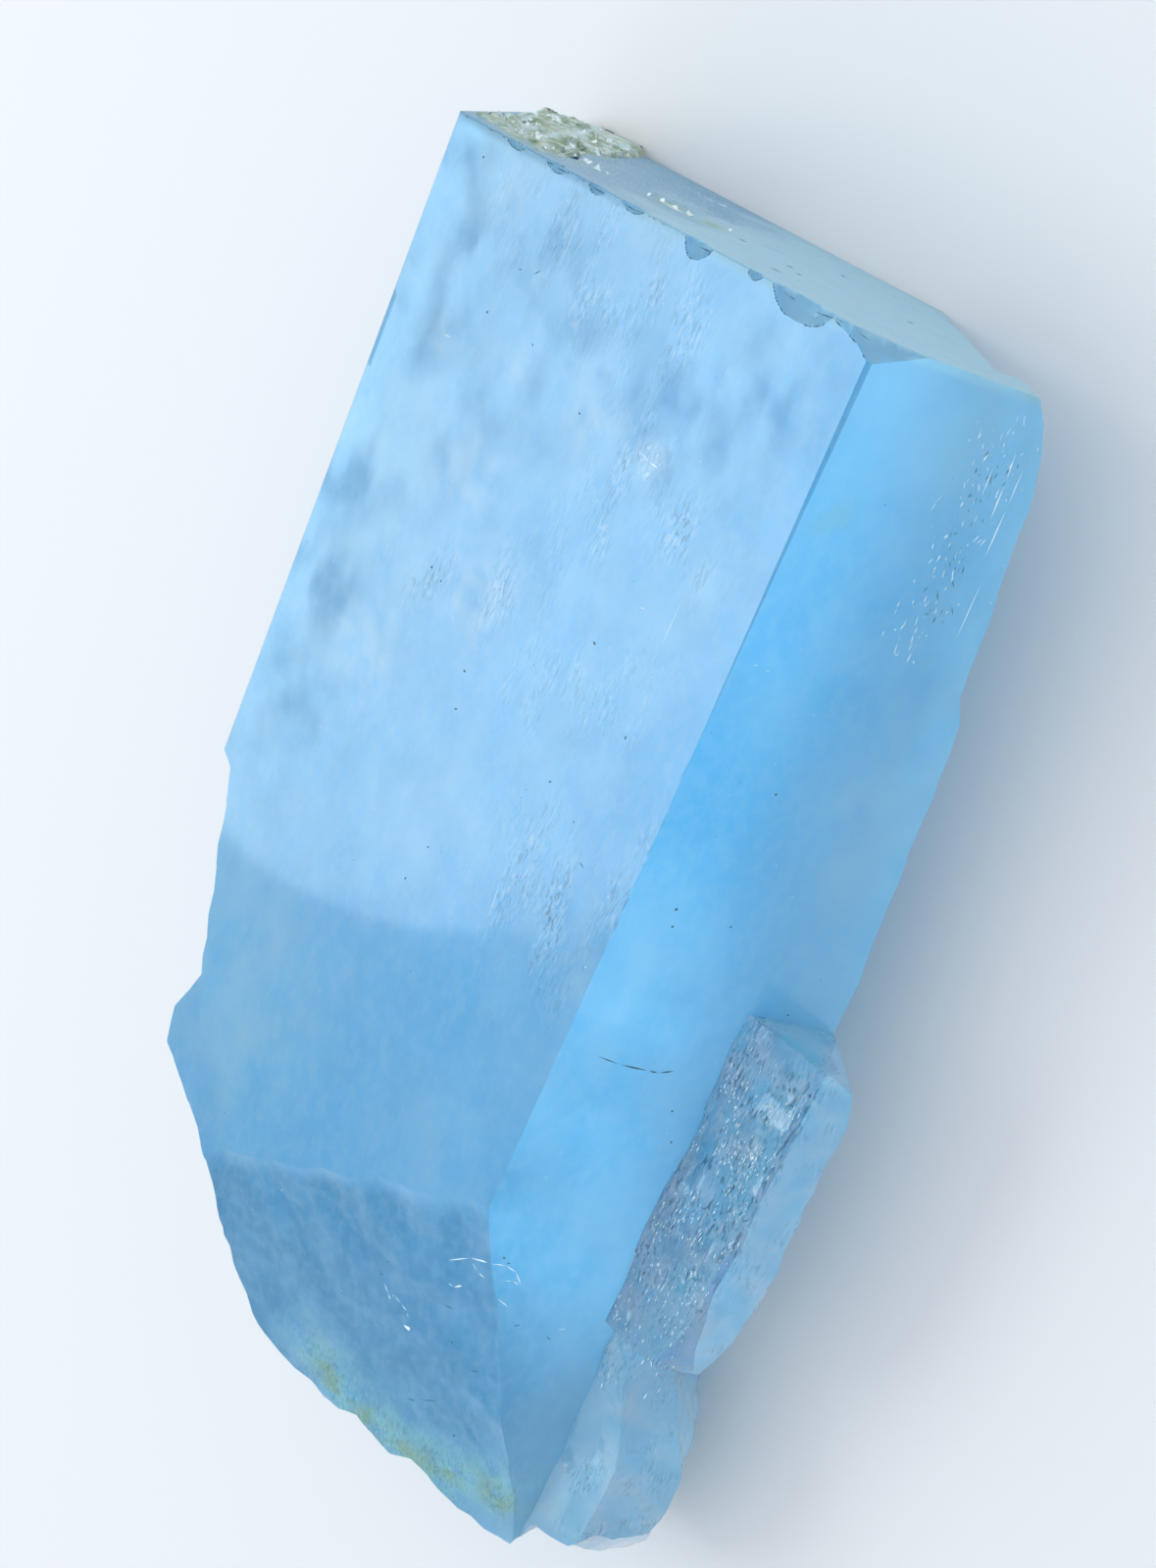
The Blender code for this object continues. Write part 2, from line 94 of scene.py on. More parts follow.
# Thin bevels along the edges: a point of the cutting plane and its outward normal.
BEVELS = (
    (Vector((A_WIDTH, -20.0, THICKNESS)), Vector((0.5, 0.0045, 0.866))),
    (Vector((0.0, 0.0, THICKNESS - 0.035)), Vector((-0.5, 0.0, 0.866))),
    (Vector((0.0, -0.07, THICKNESS)), Vector((0.0, 0.7, 0.714))),
)

# The planes that the skin is cut along: coarse over the main crystal, finer across the side crystal.
GRID_STEP = 0.5
SIDE_STEP = 0.2
SIDE_START = 31.5
GRID_END = 70.0
ON_PLANE = 0.00001
SHARP_ANGLE = math.radians(24.0)

# Tolerances: vertices that are one, faces that are one, the bevels' cut, and a place that touches a face.
MERGE_DISTANCE = 0.002
FLAT_ANGLE = math.radians(0.3)
BEVEL_CUT = 0.0005
TOUCHING = 0.01

# How far below face A's level a place still counts as on it, for its colours and for its clouds; then
# what counts as facing up, as facing out of the end, and as a chip or its rim.
A_BAND = 0.2
CLOUD_BAND = 0.3
FACING_UP = 0.95
FACING_OUT = 0.99
CHIP_START_Y = -30.0
CHIP_LOWEST_Z = 15.0
CHIP_RIM_Y = -4.0

# Relief as (height, size of its bumps): waves in flat faces, lumps on the etched end, grooves and bumps
# on the side crystal, bumps on the breaks, and lumps on the crust.
FACE_WAVES = (0.008, 7.0)
END_LUMPS = (0.03, 1.2)
SIDE_GROOVES = (0.05, 0.5)
SIDE_BUMPS = (0.05, 1.6)
BREAK_BUMPS = (0.045, 2.4)
CRUST_LUMPS = (0.24, 1.0)

# Places on face A as (x, y, radius): fine etch streaks, and clouds that dull its sheen.
ETCHED_SPOTS = (
    (18.9, -21.6, 2.6),
    (23.1, -19.3, 2.2),
    (24.0, -30.5, 4.6),
    (28.0, -27.9, 3.0),
    (14.4, -18.7, 2.2),
    (23.1, -12.3, 2.4),
    (8.6, -20.6, 1.8),
    (18.0, -10.3, 2.6),
    (17.5, -14.1, 2.0),
    (12.0, -3.0, 3.5),
    (7.0, -2.5, 2.5),
    (17.5, -4.0, 3.0),
)
DULL_SPOTS = (
    (1.1, -1.9, 2.4),
    (2.6, -8.5, 3.0),
    (1.8, -18.5, 2.6),
    (2.7, -24.7, 2.6),
    (3.3, -30.2, 2.4),
    (4.1, -5.8, 2.2),
    (8.7, -3.5, 2.2),
    (7.5, -13.0, 2.8),
    (19.8, -7.5, 3.4),
    (24.0, -4.5, 2.6),
    (13.0, -8.0, 2.6),
)

# Whitish puffs on face A, as (x, y, radius).
PUFFS = (
    (19.2, -9.7, 1.2),
    (14.8, -9.3, 1.8),
    (10.1, -9.1, 1.0),
    (4.3, -9.9, 1.0),
    (5.1, -2.4, 1.0),
    (9.0, -15.0, 2.0),
    (13.0, -20.0, 2.5),
    (7.0, -26.0, 2.5),
)

# The etched part of the end face and its olive patches, as (x, z, radius), and its single flakes, as (x, z).
END_ETCHED = ((-4.0, 4.0, 4.5), (0.0, 9.0, 5.5), (5.0, 13.0, 5.5), (7.5, 8.0, 4.0), (4.0, 3.5, 4.0))
END_OLIVE = ((10.4, 12.0, 1.6), (11.8, 11.4, 1.0), (3.2, 14.6, 2.0), (0.5, 9.0, 1.6), (-5.0, 1.6, 1.8))
END_FLAKES = (
    (3.6, 12.8),
    (4.2, 12.6),
    (4.7, 12.9),
    (5.6, 13.2),
    (6.1, 12.9),
    (9.0, 12.8),
    (9.5, 12.3),
    (10.5, 12.4),
    (10.9, 11.9),
    (11.3, 12.2),
    (12.4, 10.2),
)

# The stain: its line (x, y) along the lower rim, how wide the rim's bands are, where they end and fade,
# and a spot on face B as (place, radius).
RIM_LINE = (
    (18.8, -64.0),
    (20.4, -64.8),
    (22.6, -65.3),
    (25.0, -65.3),
    (27.6, -65.0),
    (30.2, -63.7),
    (31.4, -63.6),
)
RIM_BAND = 2.2
STAIN_BAND = 1.1
RIM_TOP = -55.0
RIM_FADE = (7.5, 11.5)
B_STAIN = (Vector((28.8, -7.9, 16.4)), 0.9)

# Where things fade in: from the first value, where there is nothing, to the second, where they are full.
END_FADE = (-0.6, -0.1)
SIDE_ETCH_Z = (9.3, 10.2)
SIDE_ETCH_X = (37.6, 36.9)
SIDE_ETCH_Y = (-51.0, -45.0)
SIDE_ETCH_TIP = (-32.2, -33.4)
FLANK_START_Y = (-29.0, -38.0)
FLANK_DEPTH = (5.0, 0.0)
B_TOP_Y = (-14.0, -1.0)
B_RIGHT_X = (29.5, 33.5)
SIDE_MILKY_Y = (-47.0, -51.0)
LEFT_X = (8.0, 2.0)
LEFT_DROP = (0.5, 4.0)
CLEAN_END_X = (6.5, 13.0)
DARKER_PATCH_VALUES = (-0.1, 0.45)
B_SHADE_Y = (-40.0, -52.0)
SLOPE_NEAR = (2.5, 1.0)
SLOPE_Z = (9.0, 12.0)
SLOPE_DROP = (0.05, 0.5)

# The clear part of the side crystal lies above this z, left of this x and above this y.
CLEAR_Z = 8.6
CLEAR_X = 37.1
CLEAR_Y = -51.2

# Marks in the skin, as (x, y) on face A and on the sloping base, (distance from the A edge, y) on B, and
# (x, z) on the end face. FLECKS holds fields of them: the face, the range across, the range of y, how
# many there are, the longest half length, and the kind, DARK or SHINY.
DARK = 0
SHINY = 1
A_DOTS = (
    (2.6, -1.4),
    (6.5, -7.8),
    (10.0, -8.0),
    (14.3, -9.6),
    (7.5, -5.2),
    (9.2, -20.2),
    (10.1, -20.5),
    (13.7, -23.6),
    (14.1, -25.5),
    (20.4, -18.5),
    (24.2, -21.4),
    (21.2, -25.5),
    (23.4, -26.4),
    (15.2, -34.6),
    (15.8, -32.4),
)
A_DASHES = (((8.4, -5.1), (8.8, -4.7)), ((24.6, -27.8), (25.1, -28.0)))
A_THREADS = (
    ((18.6, -9.6), (19.2, -9.8), (19.9, -9.8)),
    ((24.0, -14.2), (24.0, -17.0)),
    ((20.8, -31.3), (21.0, -33.3)),
    ((4.3, -9.9), (4.9, -9.8)),
    ((22.0, -15.8), (22.3, -15.7)),
    ((15.3, -19.6), (15.3, -19.9)),
)
SLOPE_DOTS = ((22.5, -53.6), (22.2, -54.7), (29.3, -48.0), (29.6, -48.2), (27.1, -55.5), (28.1, -61.7))
SLOPE_DASHES = (
    ((26.3, -53.5), (26.9, -53.4)),
    ((30.5, -51.8), (30.9, -51.5)),
    ((28.4, -56.4), (29.0, -56.0)),
    ((25.7, -61.0), (26.7, -60.2)),
    ((24.9, -61.6), (25.4, -61.4)),
    ((32.5, -51.4), (32.8, -51.6)),
)
SLOPE_THREADS = (
    ((22.4, -55.1), (22.8, -55.6), (23.0, -55.9)),
    ((23.2, -55.4), (23.7, -55.6), (24.1, -55.8), (24.3, -56.3)),
    ((26.1, -50.6), (27.4, -49.4), (28.7, -48.7), (29.5, -48.4), (30.1, -48.5), (30.5, -49.1)),
    ((26.3, -51.9), (26.7, -51.9), (27.2, -51.4)),
    ((27.5, -49.6), (28.0, -49.9), (28.4, -49.9)),
    ((28.7, -50.5), (29.3, -50.6), (30.0, -50.8)),
    ((29.5, -49.4), (30.0, -49.1), (30.4, -49.2)),
    ((33.0, -50.8), (33.7, -50.3)),
)
SLOPE_GLINT = (24.3, -56.8)
GLINT_SIZE = 0.5
GLINT_SPIN = 1.0
B_CRACK = ((1.9, -36.1), (3.2, -36.3), (4.8, -36.3), (5.3, -36.3), (6.1, -36.0))
B_DOTS = ((2.5, -27.7), (2.7, -28.6), (5.5, -27.9), (4.7, -20.9), (6.9, -38.2), (7.6, -39.9), (10.4, -31.7))
B_THREADS = (
    ((8.3, -2.5), (8.5, -4.0), (8.6, -5.8)),
    ((9.0, -3.0), (9.1, -5.0), (9.2, -7.5)),
    ((7.6, -3.4), (7.7, -5.0)),
    ((9.6, -8.5), (9.7, -11.5)),
    ((0.9, -15.3), (1.2, -15.2)),
    ((1.6, -15.4), (1.8, -15.3)),
)
# The first field, the bright flecks high on face B, is a painted glint on an inner fracture.
FLECKS = (
    ("B", 5.5, 9.4, -13.0, -1.0, 120, 0.40, SHINY),
    ("B", 6.5, 9.2, -11.0, -3.0, 45, 0.45, DARK),
    ("B", 0.5, 9.0, -45.0, -1.0, 60, 0.10, SHINY),
    ("A", 2.0, 27.0, -34.0, -2.0, 170, 0.10, SHINY),
    ("A", 17.8, 20.4, -10.6, -8.9, 36, 0.30, SHINY),
)
END_DASHES = (
    ((13.8, 11.2), (14.3, 11.0)),
    ((18.8, 14.6), (19.4, 14.3)),
    ((17.2, 11.5), (17.7, 11.3)),
    ((18.5, 12.3), (18.9, 12.1)),
    ((16.1, 5.7), (16.5, 5.5)),
    ((23.0, 9.0), (23.4, 8.8)),
)
END_THREADS = (
    ((4.7, 3.9), (5.4, 3.3), (6.0, 2.9)),
    ((9.6, 12.6), (10.4, 12.0)),
    ((10.2, 12.9), (11.2, 12.1)),
)
MARK_DEPTH = 0.01
SLIVER_RISE = 0.035
DOT_SIZE = 0.20
DASH_WIDTH = 0.12
THREAD_WIDTH = 0.10
# The chips' dark outlines are painted shade along their rims.
RIM_SHADE_WIDTH = 0.07
FLECK_WIDTHS = (0.03, 0.08)
LANDING_START = 8.0
MARK_SEED = 11
# The nicks along the end face's upper edge are dark slivers of painted shade.
SHADED_EDGE_NICKS = 40
NICK_LENGTHS = (0.1, 0.9)
NICK_WIDTHS = (0.04, 0.09)

# Threads are splinters that overlap by a share of their length, the first of them thinner. Flakes have a
# mean and a varying share of their size as radius, and are squeezed one way and thin.
THREAD_OVERLAP = 0.15
THREAD_START = 0.7
FLAKE_RADIUS = 0.4
FLAKE_UNEVEN = 0.2
FLAKE_SQUEEZE = 0.7
FLAKE_THICKNESS = 0.12

# Colours of the crystal's skin: its chips, its milky and clear bodies, and what changes them.
CHIP = Vector((0.30, 0.64, 0.80))
BODY = Vector((0.085, 0.60, 0.97))
CLEAR_BODY = Vector((0.08, 0.72, 0.94))
# The deep colour is painted shade, darkening the body under the sloping base and low on face B.
DEEP_SHADE = Vector((0.01, 0.38, 0.66))
PALE = Vector((0.37, 0.78, 0.98))
FROST = Vector((0.88, 0.97, 1.0))
RIM_FROST = Vector((0.36, 0.92, 0.88))
STAIN = Vector((0.38, 0.66, 0.34))
# The slit colour is painted shade in the etched grooves; the ridge colour is a painted highlight on the
# etched ridges, and also the whitish colour of the puffs on face A.
SLIT_SHADE = Vector((0.03, 0.16, 0.22))
RIDGE_HIGHLIGHT_AND_PUFF = Vector((0.85, 0.98, 1.0))
DARKER_PATCH = Vector((0.04, 0.28, 0.40))
ETCHED_END = Vector((0.22, 0.54, 0.74))
# The clean end colour is partly the face's pale body and partly a painted reflection, as if it caught bright
# light at a grazing angle.
CLEAN_END_AND_REFLECTION = Vector((0.62, 0.97, 1.0))
HAZE = Vector((0.14, 0.44, 0.70))

# Colours of what is left of light inside the crystal, of the marks in its skin, and of the crust.
INSIDE = (0.42, 0.80, 0.96)
# The dark mark colour is that of the inclusions and the crack, and also painted shade along the chips' rims
# and in the nicks of the end edge.
DARK_MARK = (0.03, 0.09, 0.13)
# The pale mark colour is that of the pale threads and specks, and also a painted glint on the side crystal's
# slivers and the bright flecks on face B.
SHINY_MARK = (0.74, 0.94, 0.98)
CRUST_OLIVE = (0.30, 0.38, 0.26)
CRUST_PALE = (0.58, 0.70, 0.70)
CRUST_OCHRE = (0.56, 0.52, 0.30)
FLAKE_DIM = (0.72, 0.82, 0.80)
FLAKE_BRIGHT = (0.97, 0.99, 1.0)

# The crystal's three finishes, by the number of their material: share of light let through, roughness,
# strength of the glossy skin, and how strongly the inside absorbs light, per metre.
MILKY = 0
CLEAR = 1
FROSTED = 2
MILKY_FINISH = (0.62, 0.3, 1.0, 20.0)
CLEAR_FINISH = (0.68, 0.12, 0.5, 30.0)
FROSTED_FINISH = (0.5, 0.35, 0.8, 20.0)
BERYL_IOR = 1.577
COAT_IOR = 1.5
COAT_ROUGHNESS = 0.05

# Where the skin is dull, its roughness and its glossy coat change by these factors.
DULL_ROUGHNESS = 1.3
DULL_COAT = 0.15

# Noise on the skin: the sizes of its pale grain and its etched streaks, the noise values between which
# grain, dark slits of painted shade and bright ridges of painted highlight fade in, how strong they get,
# and how deep the streaks are.
GRAIN_SIZE = 0.6
STREAK_SIZE = 0.15
GRAIN_VALUES = (0.42, 0.68)
SHADED_SLIT_VALUES = (0.44, 0.38)
LIT_RIDGE_VALUES = (0.56, 0.63)
GRAIN_MOST = 0.3
STREAK_MOST = 0.9
STREAK_DEPTH = 0.03
STREAK_STRENGTH = 0.6
PLAIN_RELIEF = 0.015
ETCHED_RELIEF = 0.8

# Roughness of the marks, the flakes and the floor, and the flakes' glossy coat.
DARK_ROUGHNESS = 0.5
SHINY_ROUGHNESS = 0.25
FLAKE_ROUGHNESS = 0.18
FLAKE_COAT = 0.5
FLOOR_ROUGHNESS = 0.65

# Sizes of the mottling of the marks, the crust and the flakes, and the crust's fine grit.
MARK_MOTTLE = 0.2
CRUST_MOTTLE = 0.8
OCHRE_MOTTLE = 1.3
GLOSS_MOTTLE = 0.5
FLAKE_MOTTLE = 0.6
GRIT_SIZE = 0.22
GRIT_DEPTH = 0.06

# Specks scattered over the skin, aimed at places in a box inside the crystal, and pale slivers on the side
# crystal, whose sparkle is a painted glint: how many there are, their smallest and largest sizes, and where
# the slivers may lie.
# SLIVER_Y and CRUST_FLAKE_SIZES give the first, the last and the commonest value.
SPECK_BOX = ((-4.0, 34.0), (-64.0, -2.0), (3.0, 15.0))
SPECK_DISTANCE = 60.0
DARK_SPECKS = 130
DARK_SPECK_SIZES = (0.03, 0.08)
PALE_SPECKS = 240
PALE_SPECK_SIZES = (0.03, 0.10)
SIDE_GLINT_SLIVERS = 900
SLIVER_X = (32.4, 37.0)
SLIVER_Y = (-33.0, -56.0, -38.0)
SLIVER_Z = 10.4
SLIVER_LOWEST = 9.0
SLIVER_REACH = (0.06, 0.28)

# The crust: the numbers of its two materials, the steps of its mesh, its middle, how far it spreads from
# there, and its pearly flakes, each put where a ray comes down on it, but none below CRUST_LOWEST_Y.
CRUST_BODY = 0
CRUST_FLAKE = 1
CRUST_SEED = 5
CRUST_RAY_START = 5.0
CRUST_LOWEST_Y = -0.05
CRUST_STEP = 0.2
CRUST_CENTRE = Vector((-2.2, 0.0, 7.6))
CRUST_SPREAD = 0.12
CRUST_MARGIN = 0.05
CRUST_FACE_Y = (-0.5, -0.2)
CRUST_FLAKES = 420
CRUST_FLAKE_X = (-8.0, 4.0)
CRUST_FLAKE_Z = (0.8, 15.2)
CRUST_FLAKE_TILT = 0.8
CRUST_FLAKE_SIZES = (0.2, 1.0, 0.3)
END_FLAKE_SIZES = (0.3, 0.6)
END_FLAKE_Y = 0.02

# The camera, from the fitted view: its place, the directions of its right and upper sides, its focal
# length, and how near it sees, in metres.
CAMERA_PLACE = (83.59, 12.28, 100.0)
CAMERA_RIGHT = (0.65776, 0.37322, -0.65427)
CAMERA_UP = (-0.50463, 0.86321, -0.01492)
CAMERA_LENS = 53.28
CAMERA_NEAREST = 0.001

# The round softbox, whose reflection in face A ends at the curved line on it.
SOFTBOX_PLACE = (-597.0, -107.0, 617.0)
SOFTBOX_RADIUS = 312.0
SOFTBOX_RADIANCE = 3.0
SOFTBOX_COLOUR = (0.74, 0.89, 0.98)

# The even light from all round, and the pale floor just under the crystal.
WORLD_LIGHT = (0.83, 0.935, 1.035)
FLOOR_COLOUR = (0.86, 0.80, 0.77)
FLOOR_SIZE = 3000.0
FLOOR_DROP = 0.2


def spot(x, y, z):
    """A place given in the crystal's own frame, in metres in the scene's."""
    return ORIGIN + Vector((x, y, z)) * MM


def piece(name, mesh, materials):
    """An object for a mesh in crystal millimetres, riding on the crystal's body."""
    mesh.transform(Matrix.Scale(MM, 4))
    for material in materials:
        mesh.materials.append(material)
    item = bpy.data.objects.new(name, mesh)
    item.location = ORIGIN
    bpy.context.scene.collection.objects.link(item)
    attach(item, "root")
    return item


def height_over(point, face):
    """How far a point is outside the plane of a face."""
    return (point - face[0]).dot(face[1])


def drawn_out(place, share):
    """The place with its y shrunk, so that noise read there is drawn out along the crystal."""
    return Vector((place.x, place.y * share, place.z))


def rough(point, size, octaves=3):
    """Smooth random relief between about -1 and 1, with bumps of the given size."""
    total = 0.0
    for octave in range(octaves):
        finer = 2.0**octave
        total += noise.noise(point * (finer / size)) / finer
    return total


# Materials


def add(tree, kind, inputs=None, **settings):
    node = tree.nodes.new(kind)
    for key, value in settings.items():
        setattr(node, key, value)
    for key, value in (inputs or {}).items():
        if isinstance(value, bpy.types.NodeSocket):
            tree.links.new(value, node.inputs[key])
        else:
            node.inputs[key].default_value = value
    return node


def new_material(name):
    material = bpy.data.materials.new(name)
    material.use_nodes = True
    return material, material.node_tree, material.node_tree.nodes["Principled BSDF"]


def place_in_mm(tree, stretch=(1.0, 1.0, 1.0)):
    """The place on the object in millimetres, stretched along each axis by the given factors."""
    coordinates = add(tree, "ShaderNodeTexCoord")
    scale = [1.0 / MM / factor for factor in stretch]
    mapped = add(tree, "ShaderNodeMapping", {"Vector": coordinates.outputs["Object"], "Scale": scale})
    return mapped.outputs["Vector"]


def noise_value(tree, size, stretch=(1.0, 1.0, 1.0), detail=4.0, distortion=0.0):
    """Noise with features of the given size in millimetres, stretched along each axis."""
    texture = add(
        tree,
        "ShaderNodeTexNoise",
        {
            "Vector": place_in_mm(tree, stretch),
            "Scale": 1.0 / size,
            "Detail": detail,
            "Distortion": distortion,
        },
    )
    return texture.outputs["Fac"]


def remap(tree, value, low, high, to_low=0.0, to_high=1.0):
    """The value taken from one range to another, and held at its ends."""
    ramp = add(
        tree,
        "ShaderNodeMapRange",
        {"Value": value, "From Min": low, "From Max": high, "To Min": to_low, "To Max": to_high},
    )
    return ramp.outputs["Result"]


def mix_colour(tree, factor, first, second):
    """A mix of two colours. The node's sockets are numbered, because several have one name."""
    mix = add(tree, "ShaderNodeMix", data_type="RGBA")
    for socket, value in ((0, factor), (6, first), (7, second)):
        if isinstance(value, bpy.types.NodeSocket):
            tree.links.new(value, mix.inputs[socket])
        elif socket == 0:
            mix.inputs[0].default_value = value
        else:
            mix.inputs[socket].default_value = (*value, 1.0)
    return mix.outputs[2]


def calculate(tree, operation, first, second):
    return add(tree, "ShaderNodeMath", {0: first, 1: second}, operation=operation).outputs[0]


def attribute(tree, name):
    """A number that the mesh carries on its vertices."""
    return add(tree, "ShaderNodeAttribute", attribute_name=name).outputs["Fac"]


def bump(tree, height, depth, strength=1.0):
    """Fine relief of the given depth in millimetres."""
    inputs = {"Height": height, "Distance": depth * MM, "Strength": strength}
    return add(tree, "ShaderNodeBump", inputs).outputs["Normal"]


def aquamarine(name, finish):
    """Milky to clear blue crystal: see-through, with a glossy skin over a softer body.

    The mesh's own tint gives the clouds, the stains, painted shade under the slope and a painted reflection
    on the end face; noise adds the fine mottling and the etching, whose dark slits are painted shade and
    whose bright ridges are painted highlights.
    """
    transmission, roughness, coat, density = finish
    material, tree, shader = new_material(name)
    etch = attribute(tree, "etch")
    dull = attribute(tree, "dull")
    streaks = noise_value(tree, STREAK_SIZE, (1.0, 4.0, 1.0), 2.0, 0.6)
    grain = noise_value(tree, GRAIN_SIZE, (1.0, 1.5, 1.0), 3.0)
    tint = add(tree, "ShaderNodeAttribute", attribute_name="tint").outputs["Color"]
    colour = mix_colour(tree, remap(tree, grain, *GRAIN_VALUES, 0.0, GRAIN_MOST), tint, PALE)
    # Dark slits are painted shade in the etched grooves, and bright ridges are painted highlights on them.
    shaded_slits = calculate(tree, "MULTIPLY", etch, remap(tree, streaks, *SHADED_SLIT_VALUES, 0.0, STREAK_MOST))
    colour = mix_colour(tree, shaded_slits, colour, SLIT_SHADE)
    lit_ridges = calculate(tree, "MULTIPLY", etch, remap(tree, streaks, *LIT_RIDGE_VALUES, 0.0, STREAK_MOST))
    colour = mix_colour(tree, lit_ridges, colour, RIDGE_HIGHLIGHT_AND_PUFF)
    tree.links.new(colour, shader.inputs["Base Color"])
    shader.inputs["Transmission Weight"].default_value = transmission
    shader.inputs["IOR"].default_value = BERYL_IOR
    rougher = remap(tree, dull, 0.0, 1.0, roughness, roughness * DULL_ROUGHNESS)
    tree.links.new(rougher, shader.inputs["Roughness"])
    less_coat = remap(tree, dull, 0.0, 1.0, coat, coat * DULL_COAT)
    tree.links.new(less_coat, shader.inputs["Coat Weight"])
    shader.inputs["Coat Roughness"].default_value = COAT_ROUGHNESS
    shader.inputs["Coat IOR"].default_value = COAT_IOR
    strength = remap(tree, etch, 0.0, 1.0, PLAIN_RELIEF, ETCHED_RELIEF)
    height = calculate(tree, "MULTIPLY", streaks, strength)
    skin = bump(tree, height, STREAK_DEPTH, STREAK_STRENGTH)
    tree.links.new(skin, shader.inputs["Normal"])
    tree.links.new(skin, shader.inputs["Coat Normal"])
    absorb = add(tree, "ShaderNodeVolumeAbsorption", {"Color": (*INSIDE, 1.0), "Density": density})
    tree.links.new(absorb.outputs[0], tree.nodes["Material Output"].inputs["Volume"])
    return material


def floor_material():
    material, _, shader = new_material("pale_floor")
    shader.inputs["Base Color"].default_value = (*FLOOR_COLOUR, 1.0)
    shader.inputs["Roughness"].default_value = FLOOR_ROUGHNESS
    return material


# The crystal


def shape_in_mm(node):
    """The CAD solid in crystal millimetres, with coplanar triangles joined."""
    shape = bmesh.new()
    shape.from_mesh(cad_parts[node].data)
    bmesh.ops.translate(shape, vec=-ORIGIN, verts=shape.verts)
    bmesh.ops.scale(shape, vec=Vector((1.0, 1.0, 1.0)) / MM, verts=shape.verts)
    bmesh.ops.remove_doubles(shape, verts=shape.verts, dist=MERGE_DISTANCE)
    bmesh.ops.dissolve_limit(shape, angle_limit=FLAT_ANGLE, verts=shape.verts, edges=shape.edges)
    return shape


def bevel_edges(shape):
    """Thin planes cut off the edges, and the cuts closed."""
    for point, normal in BEVELS:
        geometry = shape.verts[:] + shape.edges[:] + shape.faces[:]
        cut = bmesh.ops.bisect_plane(
            shape, geom=geometry, dist=BEVEL_CUT, plane_co=point, plane_no=normal, clear_outer=True
        )
        rim = [item for item in cut["geom_cut"] if isinstance(item, bmesh.types.BMEdge)]
        bmesh.ops.holes_fill(shape, edges=rim)


def split_ring(ring, axis, level):
    """The parts of a convex ring of points below and above a level of one axis."""
    below = []
    above = []
    for start, end in zip(ring, ring[1:] + ring[:1]):
        here = start[axis] - level
        there = end[axis] - level
        if here <= ON_PLANE:
            below.append(start)
        if here >= -ON_PLANE:
            above.append(start)
        if abs(here) > ON_PLANE and abs(there) > ON_PLANE and here * there < 0.0:
            first, last = sorted((start, end))
            share = (level - first[axis]) / (last[axis] - first[axis])
            middle = [a + (b - a) * share for a, b in zip(first, last)]
            middle[axis] = level
            below.append(tuple(middle))
            above.append(tuple(middle))
    return below, above


def sliced(rings, axis, levels):
    """The rings cut at every level of one axis."""
    pieces = []
    for ring in rings:
        places = [point[axis] for point in ring]
        first = bisect.bisect_right(levels, min(places) + ON_PLANE)
        last = bisect.bisect_left(levels, max(places) - ON_PLANE)
        for level in levels[first:last]:
            below, ring = split_ring(ring, axis, level)
            pieces.append(below)
        pieces.append(ring)
    return pieces


def levels_between(low, high, step):
    return [low + step * count for count in range(round((high - low) / step))]


def fine_mesh(shape, levels_of_axes):
    """The shape cut along planes across each axis, so that its faces can take relief."""
    bmesh.ops.triangulate(shape, faces=shape.faces[:])
    rings = [[tuple(vertex.co) for vertex in face.verts] for face in shape.faces]
    for axis, levels in enumerate(levels_of_axes):
        rings = sliced(rings, axis, levels)
    numbers = {}
    faces = []
    for ring in rings:
        keys = [tuple(round(value, 4) for value in point) for point in ring]
        face = [numbers.setdefault(key, len(numbers)) for key in dict.fromkeys(keys)]
        if len(face) > 2:
            faces.append(face)
    mesh = bpy.data.meshes.new("fine")
    mesh.from_pydata(list(numbers), [], faces)
    mesh.validate()
    return mesh


def touched_faces(place):
    """How many of the flat faces and bevels a place lies on."""
    return sum(abs(height_over(place, face)) < TOUCHING for face in FLAT_FACES + BEVELS)


def on_side_crystal(place):
    return place.y < SIDE_TOP and height_over(place, FACE_B) > SIDE_STANDOFF or place.x > SIDE_ALONE


def relief(place):
    """How far the surface stands out at a place: hardly at all on flat faces, more on breaks."""
    touched = touched_faces(place)
    if touched > 1:
        return 0.0
    if touched == 1:
        height, size = FACE_WAVES
        lump_height, lump_size = END_LUMPS
        return height * rough(place, size, 1) + lump_height * end_etch_at(place) * rough(place, lump_size)
    if on_side_crystal(place):
        groove_depth, groove_size = SIDE_GROOVES
        height, size = SIDE_BUMPS
        grooves = groove_depth * rough(drawn_out(place, 0.25), groove_size)
        return grooves * side_etch_at(place) + height * rough(place, size)
    height, size = BREAK_BUMPS
    return height * rough(place, size)


def spots_at(across, along, spots):
    """The strength, from 0 to 1, of the strongest of some soft round spots at a place."""
    strengths = [math.exp(-((across - x) ** 2 + (along - y) ** 2) / radius**2) for x, y, radius in spots]
    return max(strengths)


def between(value, low, high):
    """0 below low, 1 above high and smooth in between."""
    share = min(1.0, max(0.0, (value - low) / (high - low)))
    return share * share * (3.0 - 2.0 * share)


def on_end(place):
    """1 on the end face, falling to 0 a little way round its edges."""
    return between(place.y, *END_FADE)


def end_etch_at(place):
    return spots_at(place.x, place.z, END_ETCHED) * on_end(place)


